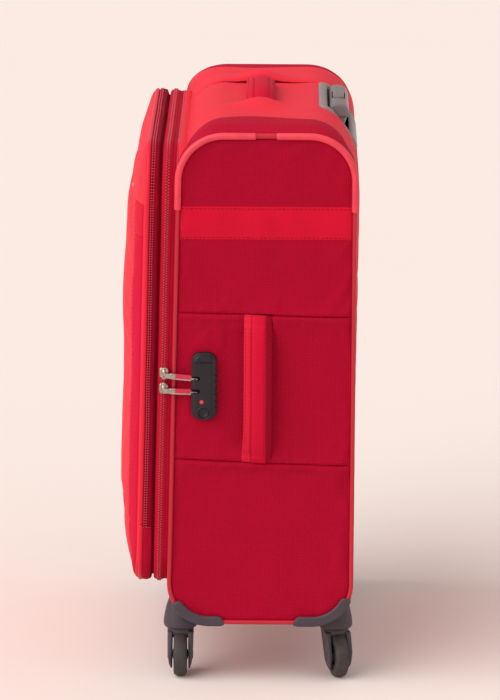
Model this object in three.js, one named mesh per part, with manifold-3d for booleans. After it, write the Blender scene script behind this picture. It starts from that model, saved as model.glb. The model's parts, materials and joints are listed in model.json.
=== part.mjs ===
// Softside upright suitcase on four swivel casters, millimetres, +Z up.
// +X is the side that carries the lock, -X the side of the lid's fabric hinge,
// -Y is the front (lid and front pocket), +Y the back (trolley handle).
import * as THREE from 'three';
import { mergeVertices } from 'three/addons/utils/BufferGeometryUtils.js';
import Module from 'manifold-3d';

const wasm = await Module();
wasm.setup();

// ---------------------------------------------------------------- dimensions
const GAP = 0.3;                 // clearance between neighbouring solids
const HALF_X = 216.3;            // half width over the side piping
const BACK_Y = 140.3;            // back face of the case
const TOP_Z = 664, BOT_Z = 72;   // case outline at the side panels
const R_TOP = 56, R_BOT = 50;    // corner radii of the side outline
const FRONT_Y0 = -80.7, FRONT_Z0 = 110, SLANT = 0.0214; // slanted front edge
const TILT = Math.atan(SLANT);
const SKIN = 4;                  // padded wall of top, bottom and back
const PIPE = 5;                  // piping section
const CROWN = 8.5;               // puff of the top panel
const LID_A = 211, LID_B = 260, LID_R = 50; // half width, half height, corner radius
const LID_Z = 376;               // height of the lid's middle
const ZIP_Y = -10;               // main zip line, in front of the case's front face
const POCKET_ZIP_Y = -27;        // pocket zip line
const RIM_Y = -38;               // edge of the pocket's front panel
const BULGE = 27;                // how far the pocket panel swells past its edge
const FOLD_Z = 191;              // lower end of the pocket zip, where the panel folds
const WHEEL_R = 26, WHEEL_W = 16, TRAIL = 14;
const CASTER_X = 172, CASTER_YF = -65, CASTER_YB = 120;
const TUBE_X = 54, TUBE_Y = 119; // trolley tubes
const RECESS_Z = 636;            // floor of the trolley recess

const frontY = (z) => FRONT_Y0 + SLANT * (z - FRONT_Z0);
const deg = Math.PI / 180;

// ---------------------------------------------------------------- finishes
const finish = (color, roughness, metalness = 0) => ({ color, roughness, metalness });
const RED = finish(0xd92438, 0.72), DARK_RED = finish(0xa0061f, 0.85), PIPE_RED = finish(0xd8283a, 0.5);
const SALMON = finish(0xe0434e, 0.55), SLATE = finish(0x3c3a42, 0.5), WARM_GREY = finish(0x6c6664, 0.45);
const NICKEL = finish(0xb9b0a4, 0.3, 1), ALU = finish(0xb4b6b8, 0.35, 1), TYRE = finish(0x2b292b, 0.7);
const LINING = finish(0x8a8482, 0.85), STEEL = finish(0x8c8c8c, 0.35, 1);

// ---------------------------------------------------------------- helpers
function solid(geometry) {
  let g = geometry.index ? geometry.toNonIndexed() : geometry.clone();
  for (const name of Object.keys(g.attributes)) if (name !== 'position') g.deleteAttribute(name);
  g = mergeVertices(g, 1e-3);
  return new wasm.Manifold(new wasm.Mesh({
    numProp: 3,
    vertProperties: new Float32Array(g.attributes.position.array),
    triVerts: new Uint32Array(g.index.array),
  }));
}
function geometryOf(manifold) {
  const m = manifold.getMesh();
  const g = new THREE.BufferGeometry();
  g.setAttribute('position', new THREE.BufferAttribute(new Float32Array(m.vertProperties), 3));
  g.setIndex(new THREE.BufferAttribute(new Uint32Array(m.triVerts), 1));
  g.computeVertexNormals();
  return g;
}
function cut(base, ...tools) {
  let s = solid(base);
  for (const t of tools) s = s.subtract(solid(t));
  return geometryOf(s);
}
function join(...parts) {
  let s = solid(parts[0]);
  for (const p of parts.slice(1)) s = s.add(solid(p));
  return geometryOf(s);
}
function overlap(a, b) { return geometryOf(solid(a).intersect(solid(b))); }
function shapeOf(points, hole) {
  const s = new THREE.Shape(points.map(([x, y]) => new THREE.Vector2(x, y)));
  if (hole) s.holes.push(new THREE.Path(hole.map(([x, y]) => new THREE.Vector2(x, y))));
  return s;
}
function extrude(shape, depth, extra = {}) {
  return new THREE.ExtrudeGeometry(shape, { depth, bevelEnabled: false, curveSegments: 8, ...extra });
}
const vx = new THREE.Vector3(1, 0, 0), vy = new THREE.Vector3(0, 1, 0), vz = new THREE.Vector3(0, 0, 1);
// shape (y, z) pushed along X
const alongX = (shape, x0, x1, extra) => extrude(shape, x1 - x0, extra)
  .applyMatrix4(new THREE.Matrix4().makeBasis(vy, vz, vx)).translate(x0, 0, 0);
// shape (x, z) pushed along Y
const alongY = (shape, y0, y1, extra) => extrude(shape, y1 - y0, extra)
  .applyMatrix4(new THREE.Matrix4().makeBasis(vx, vz, vy.clone().negate())).translate(0, y1, 0);
const alongZ = (shape, z0, z1, extra) => extrude(shape, z1 - z0, extra).translate(0, 0, z0);
const box = (x0, x1, y0, y1, z0, z1) => new THREE.BoxGeometry(x1 - x0, y1 - y0, z1 - z0)
  .translate((x0 + x1) / 2, (y0 + y1) / 2, (z0 + z1) / 2);
const cylX = (r, x0, x1, y, z, n = 16) => new THREE.CylinderGeometry(r, r, x1 - x0, n)
  .rotateZ(-Math.PI / 2).translate((x0 + x1) / 2, y, z);
const cylY = (r, y0, y1, x, z, n = 16) => new THREE.CylinderGeometry(r, r, y1 - y0, n)
  .translate(x, (y0 + y1) / 2, z);
const cylZ = (r, z0, z1, x, y, n = 16) => new THREE.CylinderGeometry(r, r, z1 - z0, n)
  .rotateX(Math.PI / 2).translate(x, y, (z0 + z1) / 2);
function roundedRect(cx, cy, w, h, r, n = 4) {
  const pts = [];
  for (const [sx, sy, a0] of [[1, 1, 0], [-1, 1, 90], [-1, -1, 180], [1, -1, 270]]) {
    for (let i = 0; i <= n; i++) {
      const a = (a0 + 90 * i / n) * deg;
      pts.push([cx + sx * (w / 2 - r) + r * Math.cos(a), cy + sy * (h / 2 - r) + r * Math.sin(a)]);
    }
  }
  return pts;
}

const suitcase = new THREE.Group();
suitcase.name = 'suitcase';
const front = new THREE.Group();           // everything in the slanted front plane
front.position.set(0, frontY(LID_Z), LID_Z);
front.rotation.x = -TILT;
front.updateMatrix();
suitcase.add(front);
const FRONT_MATRIX = front.matrix.clone();
const toWorld = (g) => g.clone().applyMatrix4(FRONT_MATRIX);
function add(parent, name, geometry, look) {
  const mesh = new THREE.Mesh(geometry, new THREE.MeshStandardMaterial(look));
  mesh.name = name;
  parent.add(mesh);
  return mesh;
}

// ---------------------------------------------------------------- side outline
const ARC_END = 180 - TILT / deg;
const CORNER = {
  tb: { y: BACK_Y - R_TOP, z: TOP_Z - R_TOP, r: R_TOP, a0: 0, a1: 90 },
  tf: { y: frontY(TOP_Z - R_TOP) + R_TOP / Math.cos(TILT), z: TOP_Z - R_TOP, r: R_TOP, a0: 90, a1: ARC_END },
  bf: { y: frontY(BOT_Z + R_BOT) + R_BOT / Math.cos(TILT), z: BOT_Z + R_BOT, r: R_BOT, a0: ARC_END, a1: 270 },
  bb: { y: BACK_Y - R_BOT, z: BOT_Z + R_BOT, r: R_BOT, a0: 270, a1: 360 },
};
function arcPoints(c, inset, n, a0 = c.a0, a1 = c.a1) {
  const out = [];
  for (let i = 0; i <= n; i++) {
    const a = (a0 + (a1 - a0) * i / n) * deg;
    out.push([c.y + (c.r - inset) * Math.cos(a), c.z + (c.r - inset) * Math.sin(a)]);
  }
  return out;
}
const outline = (inset, n = 8) => [
  ...arcPoints(CORNER.tb, inset, n), ...arcPoints(CORNER.tf, inset, n),
  ...arcPoints(CORNER.bf, inset, n), ...arcPoints(CORNER.bb, inset, n)];

// A padded wall: a grid of xs by stations (y, z and outward normal), w0..w1 deep.
function wall(xs, stations, w0, w1, puff = () => 0) {
  const nx = xs.length - 1, nu = stations.length - 1;
  const g = new THREE.BoxGeometry(1, 1, 1, nx, nu, 1);
  const p = g.attributes.position;
  for (let i = 0; i < p.count; i++) {
    const x = xs[Math.round((p.getX(i) + 0.5) * nx)];
    const s = stations[Math.round((p.getY(i) + 0.5) * nu)];
    const w = (p.getZ(i) > 0 ? w1 : w0) + puff(x, s);
    p.setXYZ(i, x, s.y + s.ny * w, s.z + s.nz * w);
  }
  return g;
}
function station(c, aDeg) {
  const a = aDeg * deg;
  return { y: c.y + c.r * Math.cos(a), z: c.z + c.r * Math.sin(a), ny: Math.cos(a), nz: Math.sin(a), phi: aDeg - 90 };
}
function arcStations(c, from, to, n) {
  return Array.from({ length: n + 1 }, (_, i) => station(c, from + (to - from) * i / n));
}
const topPuff = (x, s) => CROWN * (1 - Math.pow(Math.abs(x) / LID_A, 6)) * Math.max(0, 1 - Math.pow(s.phi / 50, 2));
const TOP_XS = [-211, -203, -190, -165, -120, -60, 0, 60, 120, 165, 190, 203, 211];
const TOP_STATIONS = [...arcStations(CORNER.tf, ARC_END, 90, 8), ...arcStations(CORNER.tb, 90, 0, 8)];

// ---------------------------------------------------------------- case shell
const lidOutline = (inset, n = 6) => roundedRect(0, 0, 2 * (LID_A - inset), 2 * (LID_B - inset), LID_R - inset, n);
const ringMouth = toWorld(alongY(shapeOf(lidOutline(-GAP)), -60, 24));
add(suitcase, 'top_panel', cut(wall(TOP_XS, TOP_STATIONS, -SKIN, 0, topPuff), ringMouth,
  box(-73.4, 73.4, 98.6, 160, RECESS_Z - 3.4, 700)), RED);
add(suitcase, 'bottom_panel', cut(wall([-211, 211],
  [...arcStations(CORNER.bb, 360, 270, 8), ...arcStations(CORNER.bf, 270, ARC_END, 8)], -SKIN, 0), ringMouth), RED);
add(suitcase, 'back_panel', box(-211, 211, BACK_Y - SKIN, BACK_Y, BOT_Z + R_BOT + GAP, TOP_Z - R_TOP - GAP), RED);
const sideShape = shapeOf(outline(PIPE + GAP));
add(suitcase, 'side_panel_right', alongX(sideShape, 209, 214), DARK_RED);
add(suitcase, 'side_panel_left', alongX(sideShape, -214, -209), DARK_RED);
const pipeShape = shapeOf(outline(0), outline(PIPE));
add(suitcase, 'piping_right', alongX(pipeShape, 211.3, HALF_X), PIPE_RED);
add(suitcase, 'piping_left', alongX(pipeShape, -HALF_X, -211.3), PIPE_RED);

// front frame: the wall that carries the case half of the main zip, with the four corner gussets
const framePlate = box(-211, 211, 0.2, 4.4, -252.2, 231);
const mouth = alongY(shapeOf(lidOutline(5)), -20, 20);
add(front, 'front_frame', cut(geometryOf(solid(alongY(shapeOf(lidOutline(0)), ZIP_Y + GAP, 4.6)).add(solid(framePlate))), mouth), DARK_RED);

// ---------------------------------------------------------------- top corner guards
function guard(c, side) {
  // c: list of points as a function of the inset; an L section outside the piping
  const outer = c(-1.8), inner = c(6), seat = c(-GAP);
  const plate = shapeOf([...outer, ...inner.slice().reverse()]);
  const lip = shapeOf([...outer, ...seat.slice().reverse()]);
  const g = join(alongX(plate, 216.6, 218.6), alongX(lip, 211.4, 218.6));
  return side > 0 ? g : mirrorX(g);
}
function mirrorX(g) {
  const m = g.clone();
  const p = m.attributes.position;
  for (let i = 0; i < p.count; i++) p.setX(i, -p.getX(i));
  const idx = m.index.array;
  for (let i = 0; i < idx.length; i += 3) { const t = idx[i]; idx[i] = idx[i + 1]; idx[i + 1] = t; }
  m.computeVertexNormals();
  return m;
}
const guardFront = (o) => [[22.3, TOP_Z - o], ...arcPoints(CORNER.tf, o, 8),
  [frontY(574.5) + o / Math.cos(TILT), 574.5]];
const guardBack = (o) => [[BACK_Y - o, 572.3], ...arcPoints(CORNER.tb, o, 8), [46.6, TOP_Z - o]];
add(suitcase, 'corner_guard_front_right', guard(guardFront, 1), SALMON);
add(suitcase, 'corner_guard_back_right', guard(guardBack, 1), SALMON);
add(suitcase, 'corner_guard_front_left', guard(guardFront, -1), SALMON);
add(suitcase, 'corner_guard_back_left', guard(guardBack, -1), SALMON);

// ---------------------------------------------------------------- caster housings
const caseBlock = alongX(shapeOf(outline(-GAP, 8)), -230, 230);
function housing(back, side) {
  const c = back ? CORNER.bb : CORNER.bf;
  const cy = back ? CASTER_YB : CASTER_YF;
  const a0 = back ? 270 : 209, a1 = back ? 339 : 270;
  const endY = back ? 69.3 : -12.6;
  const band = (o) => back ? [[endY, BOT_Z + o], ...arcPoints(c, o, 6, a0, a1)]
    : [...arcPoints(c, o, 6, a0, a1), [endY, BOT_Z + o]];
  const cap = (o) => arcPoints(c, o, 6, a0, a1);
  const poly = (f, a, b) => shapeOf([...f(a), ...f(b).slice().reverse()]);
  const plate = alongX(poly(band, -2, 11), 216.6, 219.2);
  const lip = alongX(poly(band, -2, -GAP), 203, 219.2);
  const underside = alongX(poly(cap, -2, -GAP), 150, 204);
  const dome = new THREE.LatheGeometry([[0, 57.5], [18.6, 57.5], [19.2, 62], [18.5, 72], [16.5, 100], [0, 100]]
    .map(([x, y]) => new THREE.Vector2(x, y)), 16).rotateX(Math.PI / 2).translate(CASTER_X, cy, 0);
  const bore = cylZ(4.4, 50, 67, CASTER_X, cy, 12);
  const body = solid(dome).subtract(solid(caseBlock)).subtract(solid(bore));
  const all = body.add(solid(plate)).add(solid(lip)).add(solid(underside));
  const g = geometryOf(all);
  return side > 0 ? g : mirrorX(g);
}
for (const [tag, back, side] of [['front_right', 0, 1], ['front_left', 0, -1], ['back_right', 1, 1], ['back_left', 1, -1]]) {
  add(suitcase, 'caster_housing_' + tag, housing(back, side), SLATE);
}

// ---------------------------------------------------------------- casters
const wheelHole = (grow) => cylY(WHEEL_R + grow, -9.3, 9.3, TRAIL, WHEEL_R, 20);
function forkGeometry() {
  const cap = new THREE.LatheGeometry([[0, 47], [17.2, 47], [17.6, 56.7], [4, 56.7], [4, 65], [0, 65]]
    .map(([x, y]) => new THREE.Vector2(x, y)), 16).rotateX(Math.PI / 2);
  const profile = [[-13, 54]];
  for (let i = 0; i <= 7; i++) {
    const a = (205 + (370 - 205) * i / 7) * deg;
    profile.push([TRAIL + 15 * Math.cos(a), WHEEL_R + 15 * Math.sin(a)]);
  }
  profile.push([16, 54]);
  const arm = (y0, y1) => alongY(shapeOf(profile), y0, y1);
  let s = solid(cap).add(solid(arm(10.4, 15.2))).add(solid(arm(-15.2, -10.4)));
  s = s.subtract(solid(wheelHole(1.6))).subtract(solid(cylY(3.3, -20, 20, TRAIL, WHEEL_R, 10)));
  return geometryOf(s);
}
const fork = forkGeometry();
const tyreProfile = [[14.3, -7.2], [22.5, -7.6], [25.4, -4.6], [26, 0], [25.4, 4.6], [22.5, 7.6], [14.3, 7.2], [14.3, -7.2]];
const hubProfile = [[3.3, -8.6], [6, -8.6], [14, -6.6], [14, 6.6], [6, 8.6], [3.3, 8.6], [3.3, -8.6]];
const ring = (profile, n) => new THREE.LatheGeometry(profile.map(([x, y]) => new THREE.Vector2(x, y)), n);
const CASTERS = [
  ['front_right', CASTER_X, CASTER_YF, 0], ['front_left', -CASTER_X, CASTER_YF, 8],
  ['back_right', CASTER_X, CASTER_YB, 14], ['back_left', -CASTER_X, CASTER_YB, -6]];
for (const [tag, x, y, turn] of CASTERS) {
  const g = new THREE.Group();
  g.position.set(x, y, 0);
  g.rotation.z = turn * deg;
  suitcase.add(g);
  add(g, 'caster_fork_' + tag, fork.clone(), SLATE);
  add(g, 'caster_axle_' + tag, cylY(3, -15.6, 15.6, TRAIL, WHEEL_R, 10), STEEL);
  add(g, 'caster_tyre_' + tag, ring(tyreProfile, 20).translate(TRAIL, 0, WHEEL_R), TYRE);
  add(g, 'caster_hub_' + tag, ring(hubProfile, 14).translate(TRAIL, 0, WHEEL_R), SLATE);
}

// ---------------------------------------------------------------- lid and front pocket (slanted frame)
// The pillowed front: square grid squeezed to a round-cornered rectangle, two skins.
function pillow(a, b, r, thick, inset) {
  const nx = 10, nz = 12;
  const g = new THREE.BoxGeometry(2, 1, 2, nx, 1, nz);
  const p = g.attributes.position;
  const ease = (t) => Math.sin(t * Math.PI / 2);
  for (let i = 0; i < p.count; i++) {
    const u = ease(p.getX(i)), v = ease(p.getZ(i));
    let x = u * (a - inset), z = v * (b - inset);
    const dx = Math.abs(x) - (a - r), dz = Math.abs(z) - (b - r);
    if (dx > 0 && dz > 0) {
      const k = Math.max(dx, dz) / Math.hypot(dx, dz);
      x = Math.sign(x) * (a - r + dx * k);
      z = Math.sign(z) * (b - r + dz * k);
    }
    const fx = 1 - Math.pow(Math.abs(x) / a, 5), fz = 1 - Math.pow(Math.abs(z) / b, z > 0 ? 3.5 : 5);
    const y = RIM_Y - BULGE * Math.max(0, fx) * Math.max(0, fz);
    p.setXYZ(i, x, p.getY(i) < 0 ? y : y + thick, z);
  }
  return g;
}
const dome = pillow(LID_A, LID_B, LID_R, 4, 0.01);
const rimShape = (inset) => shapeOf(lidOutline(0), lidOutline(inset));
const foldLocal = FOLD_Z - LID_Z;
const upperRim = alongY(rimShape(4), RIM_Y + 0.5, POCKET_ZIP_Y - GAP);
const above = box(-300, 300, -120, 20, foldLocal + GAP, 400);
const below = box(-300, 300, -120, 20, -400, foldLocal - GAP);
add(front, 'pocket_panel', overlap(join(dome, upperRim), above), RED);
const lidRing = alongY(rimShape(5), POCKET_ZIP_Y + GAP, ZIP_Y - GAP);
const lowerRim = alongY(rimShape(4), RIM_Y + 0.5, POCKET_ZIP_Y + 2);
const lowerPart = overlap(join(dome, lowerRim), below);
add(front, 'lid_frame', join(lidRing, lowerPart), RED);
add(front, 'lid_divider', alongY(shapeOf(lidOutline(5.3)), -15, -12), LINING);

// ---------------------------------------------------------------- zip sliders and pull tabs
const localZ = (z) => (z - LID_Z) / Math.cos(TILT);
const sliderShape = roundedRect(ZIP_Y, 0, 9, 11, 2.5, 2);
for (const [tag, z] of [['upper', 379.5], ['lower', 360.5]]) {
  const zl = localZ(z);
  add(front, 'zip_slider_' + tag, alongX(shapeOf(sliderShape.map(([y, h]) => [y, h + zl])), 211.6, 218.4), NICKEL);
  const tz = tag === 'upper' ? zl - 2.5 : zl - 2;
  add(front, 'pull_tab_' + tag, alongX(shapeOf(roundedRect(ZIP_Y + 18.3, tz, 36, 6.4, 1.5, 2)), 219, 221.4), NICKEL);
}
add(front, 'pocket_slider', alongY(shapeOf(roundedRect(140, localZ(588), 11, 8, 2, 2)), -56, -52.3), NICKEL);

// ---------------------------------------------------------------- lock
const LOCK = { y0: -51.6, y1: -22.2, z0: 324.5, z1: 406.4 };
const lockShape = roundedRect((LOCK.y0 + LOCK.y1) / 2, (LOCK.z0 + LOCK.z1) / 2, LOCK.y1 - LOCK.y0, LOCK.z1 - LOCK.z0, 11, 5);
const dialZ = [375, 359.5, 343.8];
let lock = solid(alongX(shapeOf(lockShape), 214.3, 224));
lock = lock.subtract(solid(box(218.5, 230, -60, -44.4, 300, 420)));                     // low edge the pull tabs lie over
for (const z of dialZ) lock = lock.subtract(solid(cylZ(5.5, z - 4, z + 4, 219, -26.4, 14)));
lock = lock.subtract(solid(cylX(6.3, 217, 230, -37, 333.2, 16)));
lock = lock.subtract(solid(box(218, 230, -42.3, -27.7, 394.2, 402.8)));
add(suitcase, 'lock_body', geometryOf(lock), SLATE);
dialZ.forEach((z, i) => add(suitcase, 'lock_dial_' + (i + 1), cylZ(5, z - 3.6, z + 3.6, 219, -26.4, 14), SLATE));
add(suitcase, 'lock_key_cylinder', cut(cylX(6, 217.4, 224.2, -37, 333.2, 16), box(222.6, 230, -37.6, -36.4, 330.6, 335.8)), SLATE);
add(suitcase, 'lock_release_button', alongX(shapeOf(roundedRect(-35, 398.5, 14, 8, 2, 2)), 220.2, 225), SLATE);

// ---------------------------------------------------------------- carry handles: sewn arches
function arch(half, rise, thick, foot) {
  // profile in (along, out): an arch whose two feet lie flat
  const outer = [], inner = [];
  const n = 14;
  for (let i = 0; i <= n; i++) {
    const t = -1 + 2 * i / n;
    const s = t * half;
    const h = rise * Math.pow(Math.max(0, 1 - Math.pow(Math.abs(t), 3.2)), 0.9);
    outer.push([s, h + thick * 0.999]);
    if (Math.abs(t) <= 0.99) inner.push([s * 0.97, Math.max(0, h)]);
  }
  const pts = [[-half - foot, 0], [-half - foot, thick * 0.6], ...outer, [half + foot, thick * 0.6], [half + foot, 0], ...inner.slice().reverse()];
  return pts;
}
const sideArch = arch(80, 15, 6.2, 9).map(([s, h]) => [214.3 + h, 363 + s]);
add(suitcase, 'side_handle', alongY(shapeOf(sideArch), 9.4, 43.2), RED);
const topZ = TOP_Z + CROWN;
const topArch = arch(66, 9, 6.2, 12).map(([s, h]) => [s, topZ + GAP + 0.1 + h]);
add(suitcase, 'top_handle', alongY(shapeOf(topArch), 9.4, 43.2), RED);

// ---------------------------------------------------------------- trolley handle
const BEZEL_STATIONS = arcStations(CORNER.tb, 78.75, 11.25, 6);
const bezelXs = [-78, -60, 0, 60, 78];
const flange = wall(bezelXs, BEZEL_STATIONS, GAP, 2.4, topPuff);
const fill = wall([-78, -60, 0, 60, 78], arcStations(CORNER.tb, 90, 11.25, 7), -45, 1.2, topPuff);
let bezel = solid(box(-73, 73, 99, 138, RECESS_Z - 3, 690)).intersect(solid(fill)).add(solid(flange));
bezel = bezel.subtract(solid(box(-70, 70, 102, 160, RECESS_Z, 700)));
for (const s of [-1, 1]) bezel = bezel.subtract(solid(alongZ(shapeOf(roundedRect(s * TUBE_X, TUBE_Y, 18, 13, 3, 2)), 620, 650)));
add(suitcase, 'trolley_bezel', geometryOf(bezel), WARM_GREY);
const tube = (x, w, h, t, z0, z1) => alongZ(shapeOf(roundedRect(x, TUBE_Y, w, h, 3, 2), roundedRect(x, TUBE_Y, w - 2 * t, h - 2 * t, 2, 2)), z0, z1);
for (const [tag, s] of [['right', 1], ['left', -1]]) {
  add(suitcase, 'outer_tube_' + tag, tube(s * TUBE_X, 20, 15, 1.1, 112.3, RECESS_Z - 3.3), ALU);
  add(suitcase, 'middle_tube_' + tag, tube(s * TUBE_X, 17, 12, 1.1, 127, RECESS_Z + 1.5), ALU);
  add(suitcase, 'inner_tube_' + tag, tube(s * TUBE_X, 14, 9, 1.2, 142, 641.7), ALU);
}
add(suitcase, 'trolley_base', cut(box(-72, 72, 109.5, 128, 98, 112), box(-36, 36, 100, 123, 90, 120)), SLATE);
const gripProfile = [[108, 656], [131, 654.5], [132, 661], [129.5, 668.5], [125.5, 671.8], [113.5, 672.4], [109.5, 669.5], [108, 664]];
let grip = solid(alongX(shapeOf(gripProfile), -64, 64));
for (const s of [-1, 1]) grip = grip.add(solid(box(s > 0 ? 44 : -64, s > 0 ? 64 : -44, 110, 129, 642, 658)));
grip = grip.subtract(solid(box(-22.4, 22.4, 112.1, 126.9, 665, 680)));
add(suitcase, 'trolley_grip', geometryOf(grip), WARM_GREY);
add(suitcase, 'trolley_button', alongZ(shapeOf(roundedRect(0, 119.5, 44, 14, 3, 2)), 668.6, 673.6), SLATE);

// ---------------------------------------------------------------- inside
add(suitcase, 'lining_panel', box(-208.5, 208.5, 105.8, 108.4, 90, 628), LINING);
add(suitcase, 'packing_strap', box(-190, 190, 102, 105.4, 340, 366), LINING);

// centre the footprint on the origin
const bounds = new THREE.Box3();
suitcase.updateMatrixWorld(true);
bounds.setFromObject(suitcase, true);
suitcase.position.set(-(bounds.min.x + bounds.max.x) / 2, -(bounds.min.y + bounds.max.y) / 2, 0);

export default suitcase;
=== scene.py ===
# Softside upright suitcase: the visible pieces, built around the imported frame.
# Lengths in the helpers are millimetres in the suitcase's own axes: +X lock side, -Y front, +Z up.
import json
import math
import bpy
import numpy as np
from mathutils import Matrix, Vector
from mathutils.bvhtree import BVHTree

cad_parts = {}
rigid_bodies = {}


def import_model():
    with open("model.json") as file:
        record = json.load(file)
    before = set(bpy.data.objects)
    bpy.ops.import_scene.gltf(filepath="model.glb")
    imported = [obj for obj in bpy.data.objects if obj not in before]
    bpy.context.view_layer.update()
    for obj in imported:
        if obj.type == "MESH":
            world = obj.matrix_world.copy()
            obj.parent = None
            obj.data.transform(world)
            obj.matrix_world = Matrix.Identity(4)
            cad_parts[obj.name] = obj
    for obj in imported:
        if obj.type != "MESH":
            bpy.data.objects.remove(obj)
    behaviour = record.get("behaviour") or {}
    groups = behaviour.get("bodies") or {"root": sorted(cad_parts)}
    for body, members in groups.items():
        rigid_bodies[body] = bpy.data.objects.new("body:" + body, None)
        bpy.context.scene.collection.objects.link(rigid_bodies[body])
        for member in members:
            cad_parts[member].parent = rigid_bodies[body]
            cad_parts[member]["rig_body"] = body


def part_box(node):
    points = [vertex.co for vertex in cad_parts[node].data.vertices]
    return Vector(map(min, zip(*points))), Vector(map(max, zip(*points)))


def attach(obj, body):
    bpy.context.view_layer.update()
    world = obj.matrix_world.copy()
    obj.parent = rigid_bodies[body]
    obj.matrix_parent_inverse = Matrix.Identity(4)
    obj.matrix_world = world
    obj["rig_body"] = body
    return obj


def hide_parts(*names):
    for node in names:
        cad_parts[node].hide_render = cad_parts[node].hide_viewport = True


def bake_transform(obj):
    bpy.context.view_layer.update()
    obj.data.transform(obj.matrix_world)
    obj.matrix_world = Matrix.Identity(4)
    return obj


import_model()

for _n in ("Cube", "Light", "Camera"):     # the default scene's own objects
    if _n in bpy.data.objects and "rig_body" not in bpy.data.objects[_n]:
        bpy.data.objects.remove(bpy.data.objects[_n])
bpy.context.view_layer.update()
MM = 0.001
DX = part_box("side_panel_right")[1].x * 1000 - 214.0
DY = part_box("back_panel")[1].y * 1000 - 140.3
SHIFT = np.array([DX, DY, 0.0])
RAD = math.pi / 180
TILT = math.atan(0.0214)
CT, ST = math.cos(TILT), math.sin(TILT)
front_y = lambda z: -80.7 + 0.0214 * (z - 110)
LID_A, LID_B, LID_R, LID_Z = 211.0, 260.0, 50.0, 376.0
rng = np.random.default_rng(7)
scene = bpy.context.scene
link = scene.collection.objects.link


# ------------------------------------------------------------------ mesh tools
def to_row(p):
    return (np.asarray(p, float) + SHIFT) * MM


def slant(p):
    """Slanted front axes (x, y', z') to the case's axes."""
    p = np.asarray(p, float)
    x, y, z = p[..., 0], p[..., 1], p[..., 2]
    return np.stack([x, front_y(LID_Z) + y * CT + z * ST, LID_Z - y * ST + z * CT], -1)


def make(name, verts, faces, mat, uv=None, smooth=True):
    me = bpy.data.meshes.new(name)
    me.from_pydata(to_row(verts).tolist(), [], [list(map(int, f)) for f in faces])
    me.polygons.foreach_set("use_smooth", [smooth] * len(me.polygons))
    if uv is not None:
        layer = me.uv_layers.new(name="weave")
        layer.data.foreach_set("uv", np.asarray(uv, np.float32).ravel())
    me.materials.append(mat)
    o = bpy.data.objects.new(name, me)
    link(o)
    me.update()
    return o


def grid(name, P, mat, cu=False, cv=False, uv=None, cap=False, flip=False, smooth=True):
    """A surface through P[nu, nv]; cu/cv close it round, cap fills the two open ends along u."""
    P = np.asarray(P, float)
    nu, nv = P.shape[:2]
    idx = np.arange(nu * nv).reshape(nu, nv)
    E = P
    if cu:
        idx = np.vstack([idx, idx[:1]]); E = np.concatenate([E, E[:1]], 0)
    if cv:
        idx = np.hstack([idx, idx[:, :1]]); E = np.concatenate([E, E[:, :1]], 1)
    if uv is None:
        a = np.concatenate([[0], np.cumsum(np.linalg.norm(np.diff(E, axis=0), axis=2).mean(1))])
        b = np.concatenate([[0], np.cumsum(np.linalg.norm(np.diff(E, axis=1), axis=2).mean(0))])
        uv = np.stack(np.meshgrid(a, b, indexing="ij"), -1)
    def quad(m):
        return np.stack([m[:-1, :-1], m[1:, :-1], m[1:, 1:], m[:-1, 1:]], 2)
    q = quad(idx).reshape(-1, 4)
    t = quad(uv).reshape(-1, 4, 2)
    if flip:
        q = q[:, ::-1]; t = t[:, ::-1]
    faces = q.tolist()
    loops = t.reshape(-1, 2)
    if cap:
        for row, rev in ((idx[0], True), (idx[-1], False)):
            ring = list(row[:-1] if cv else row)
            if rev != flip:
                ring = ring[::-1]
            faces.append(ring)
            c = P.reshape(-1, 3)[ring]
            loops = np.vstack([loops, c[:, 1:3]])
    return make(name, P.reshape(-1, 3), faces, mat, loops, smooth)


def bake(o):
    """Applies the object's modifiers."""
    bpy.context.view_layer.update()
    dg = bpy.context.evaluated_depsgraph_get()
    me = bpy.data.meshes.new_from_object(o.evaluated_get(dg), preserve_all_data_layers=True, depsgraph=dg)
    old = o.data
    o.modifiers.clear()
    o.data = me
    me.name = o.name
    bpy.data.meshes.remove(old)
    return o


def thick(o, t, offset=0.0):
    m = o.modifiers.new("thickness", "SOLIDIFY")
    m.thickness = t * MM
    m.offset = offset
    m.use_even_offset = False
    return bake(o)


def subdivide(o, levels=1):
    m = o.modifiers.new("subdivision", "SUBSURF")
    m.levels = m.render_levels = levels
    return bake(o)


def bevel(o, w, seg=3, angle=35):
    m = o.modifiers.new("bevel", "BEVEL")
    m.width = w * MM
    m.segments = seg
    m.limit_method = "ANGLE"
    m.angle_limit = angle * RAD
    return bake(o)


def cut(o, *tools):
    for t in tools:
        m = o.modifiers.new("cut", "BOOLEAN")
        m.object = t
        m.operation = "DIFFERENCE"
        m.solver = "EXACT"
    bake(o)
    for t in tools:
        bpy.data.objects.remove(t)
    return o


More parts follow.
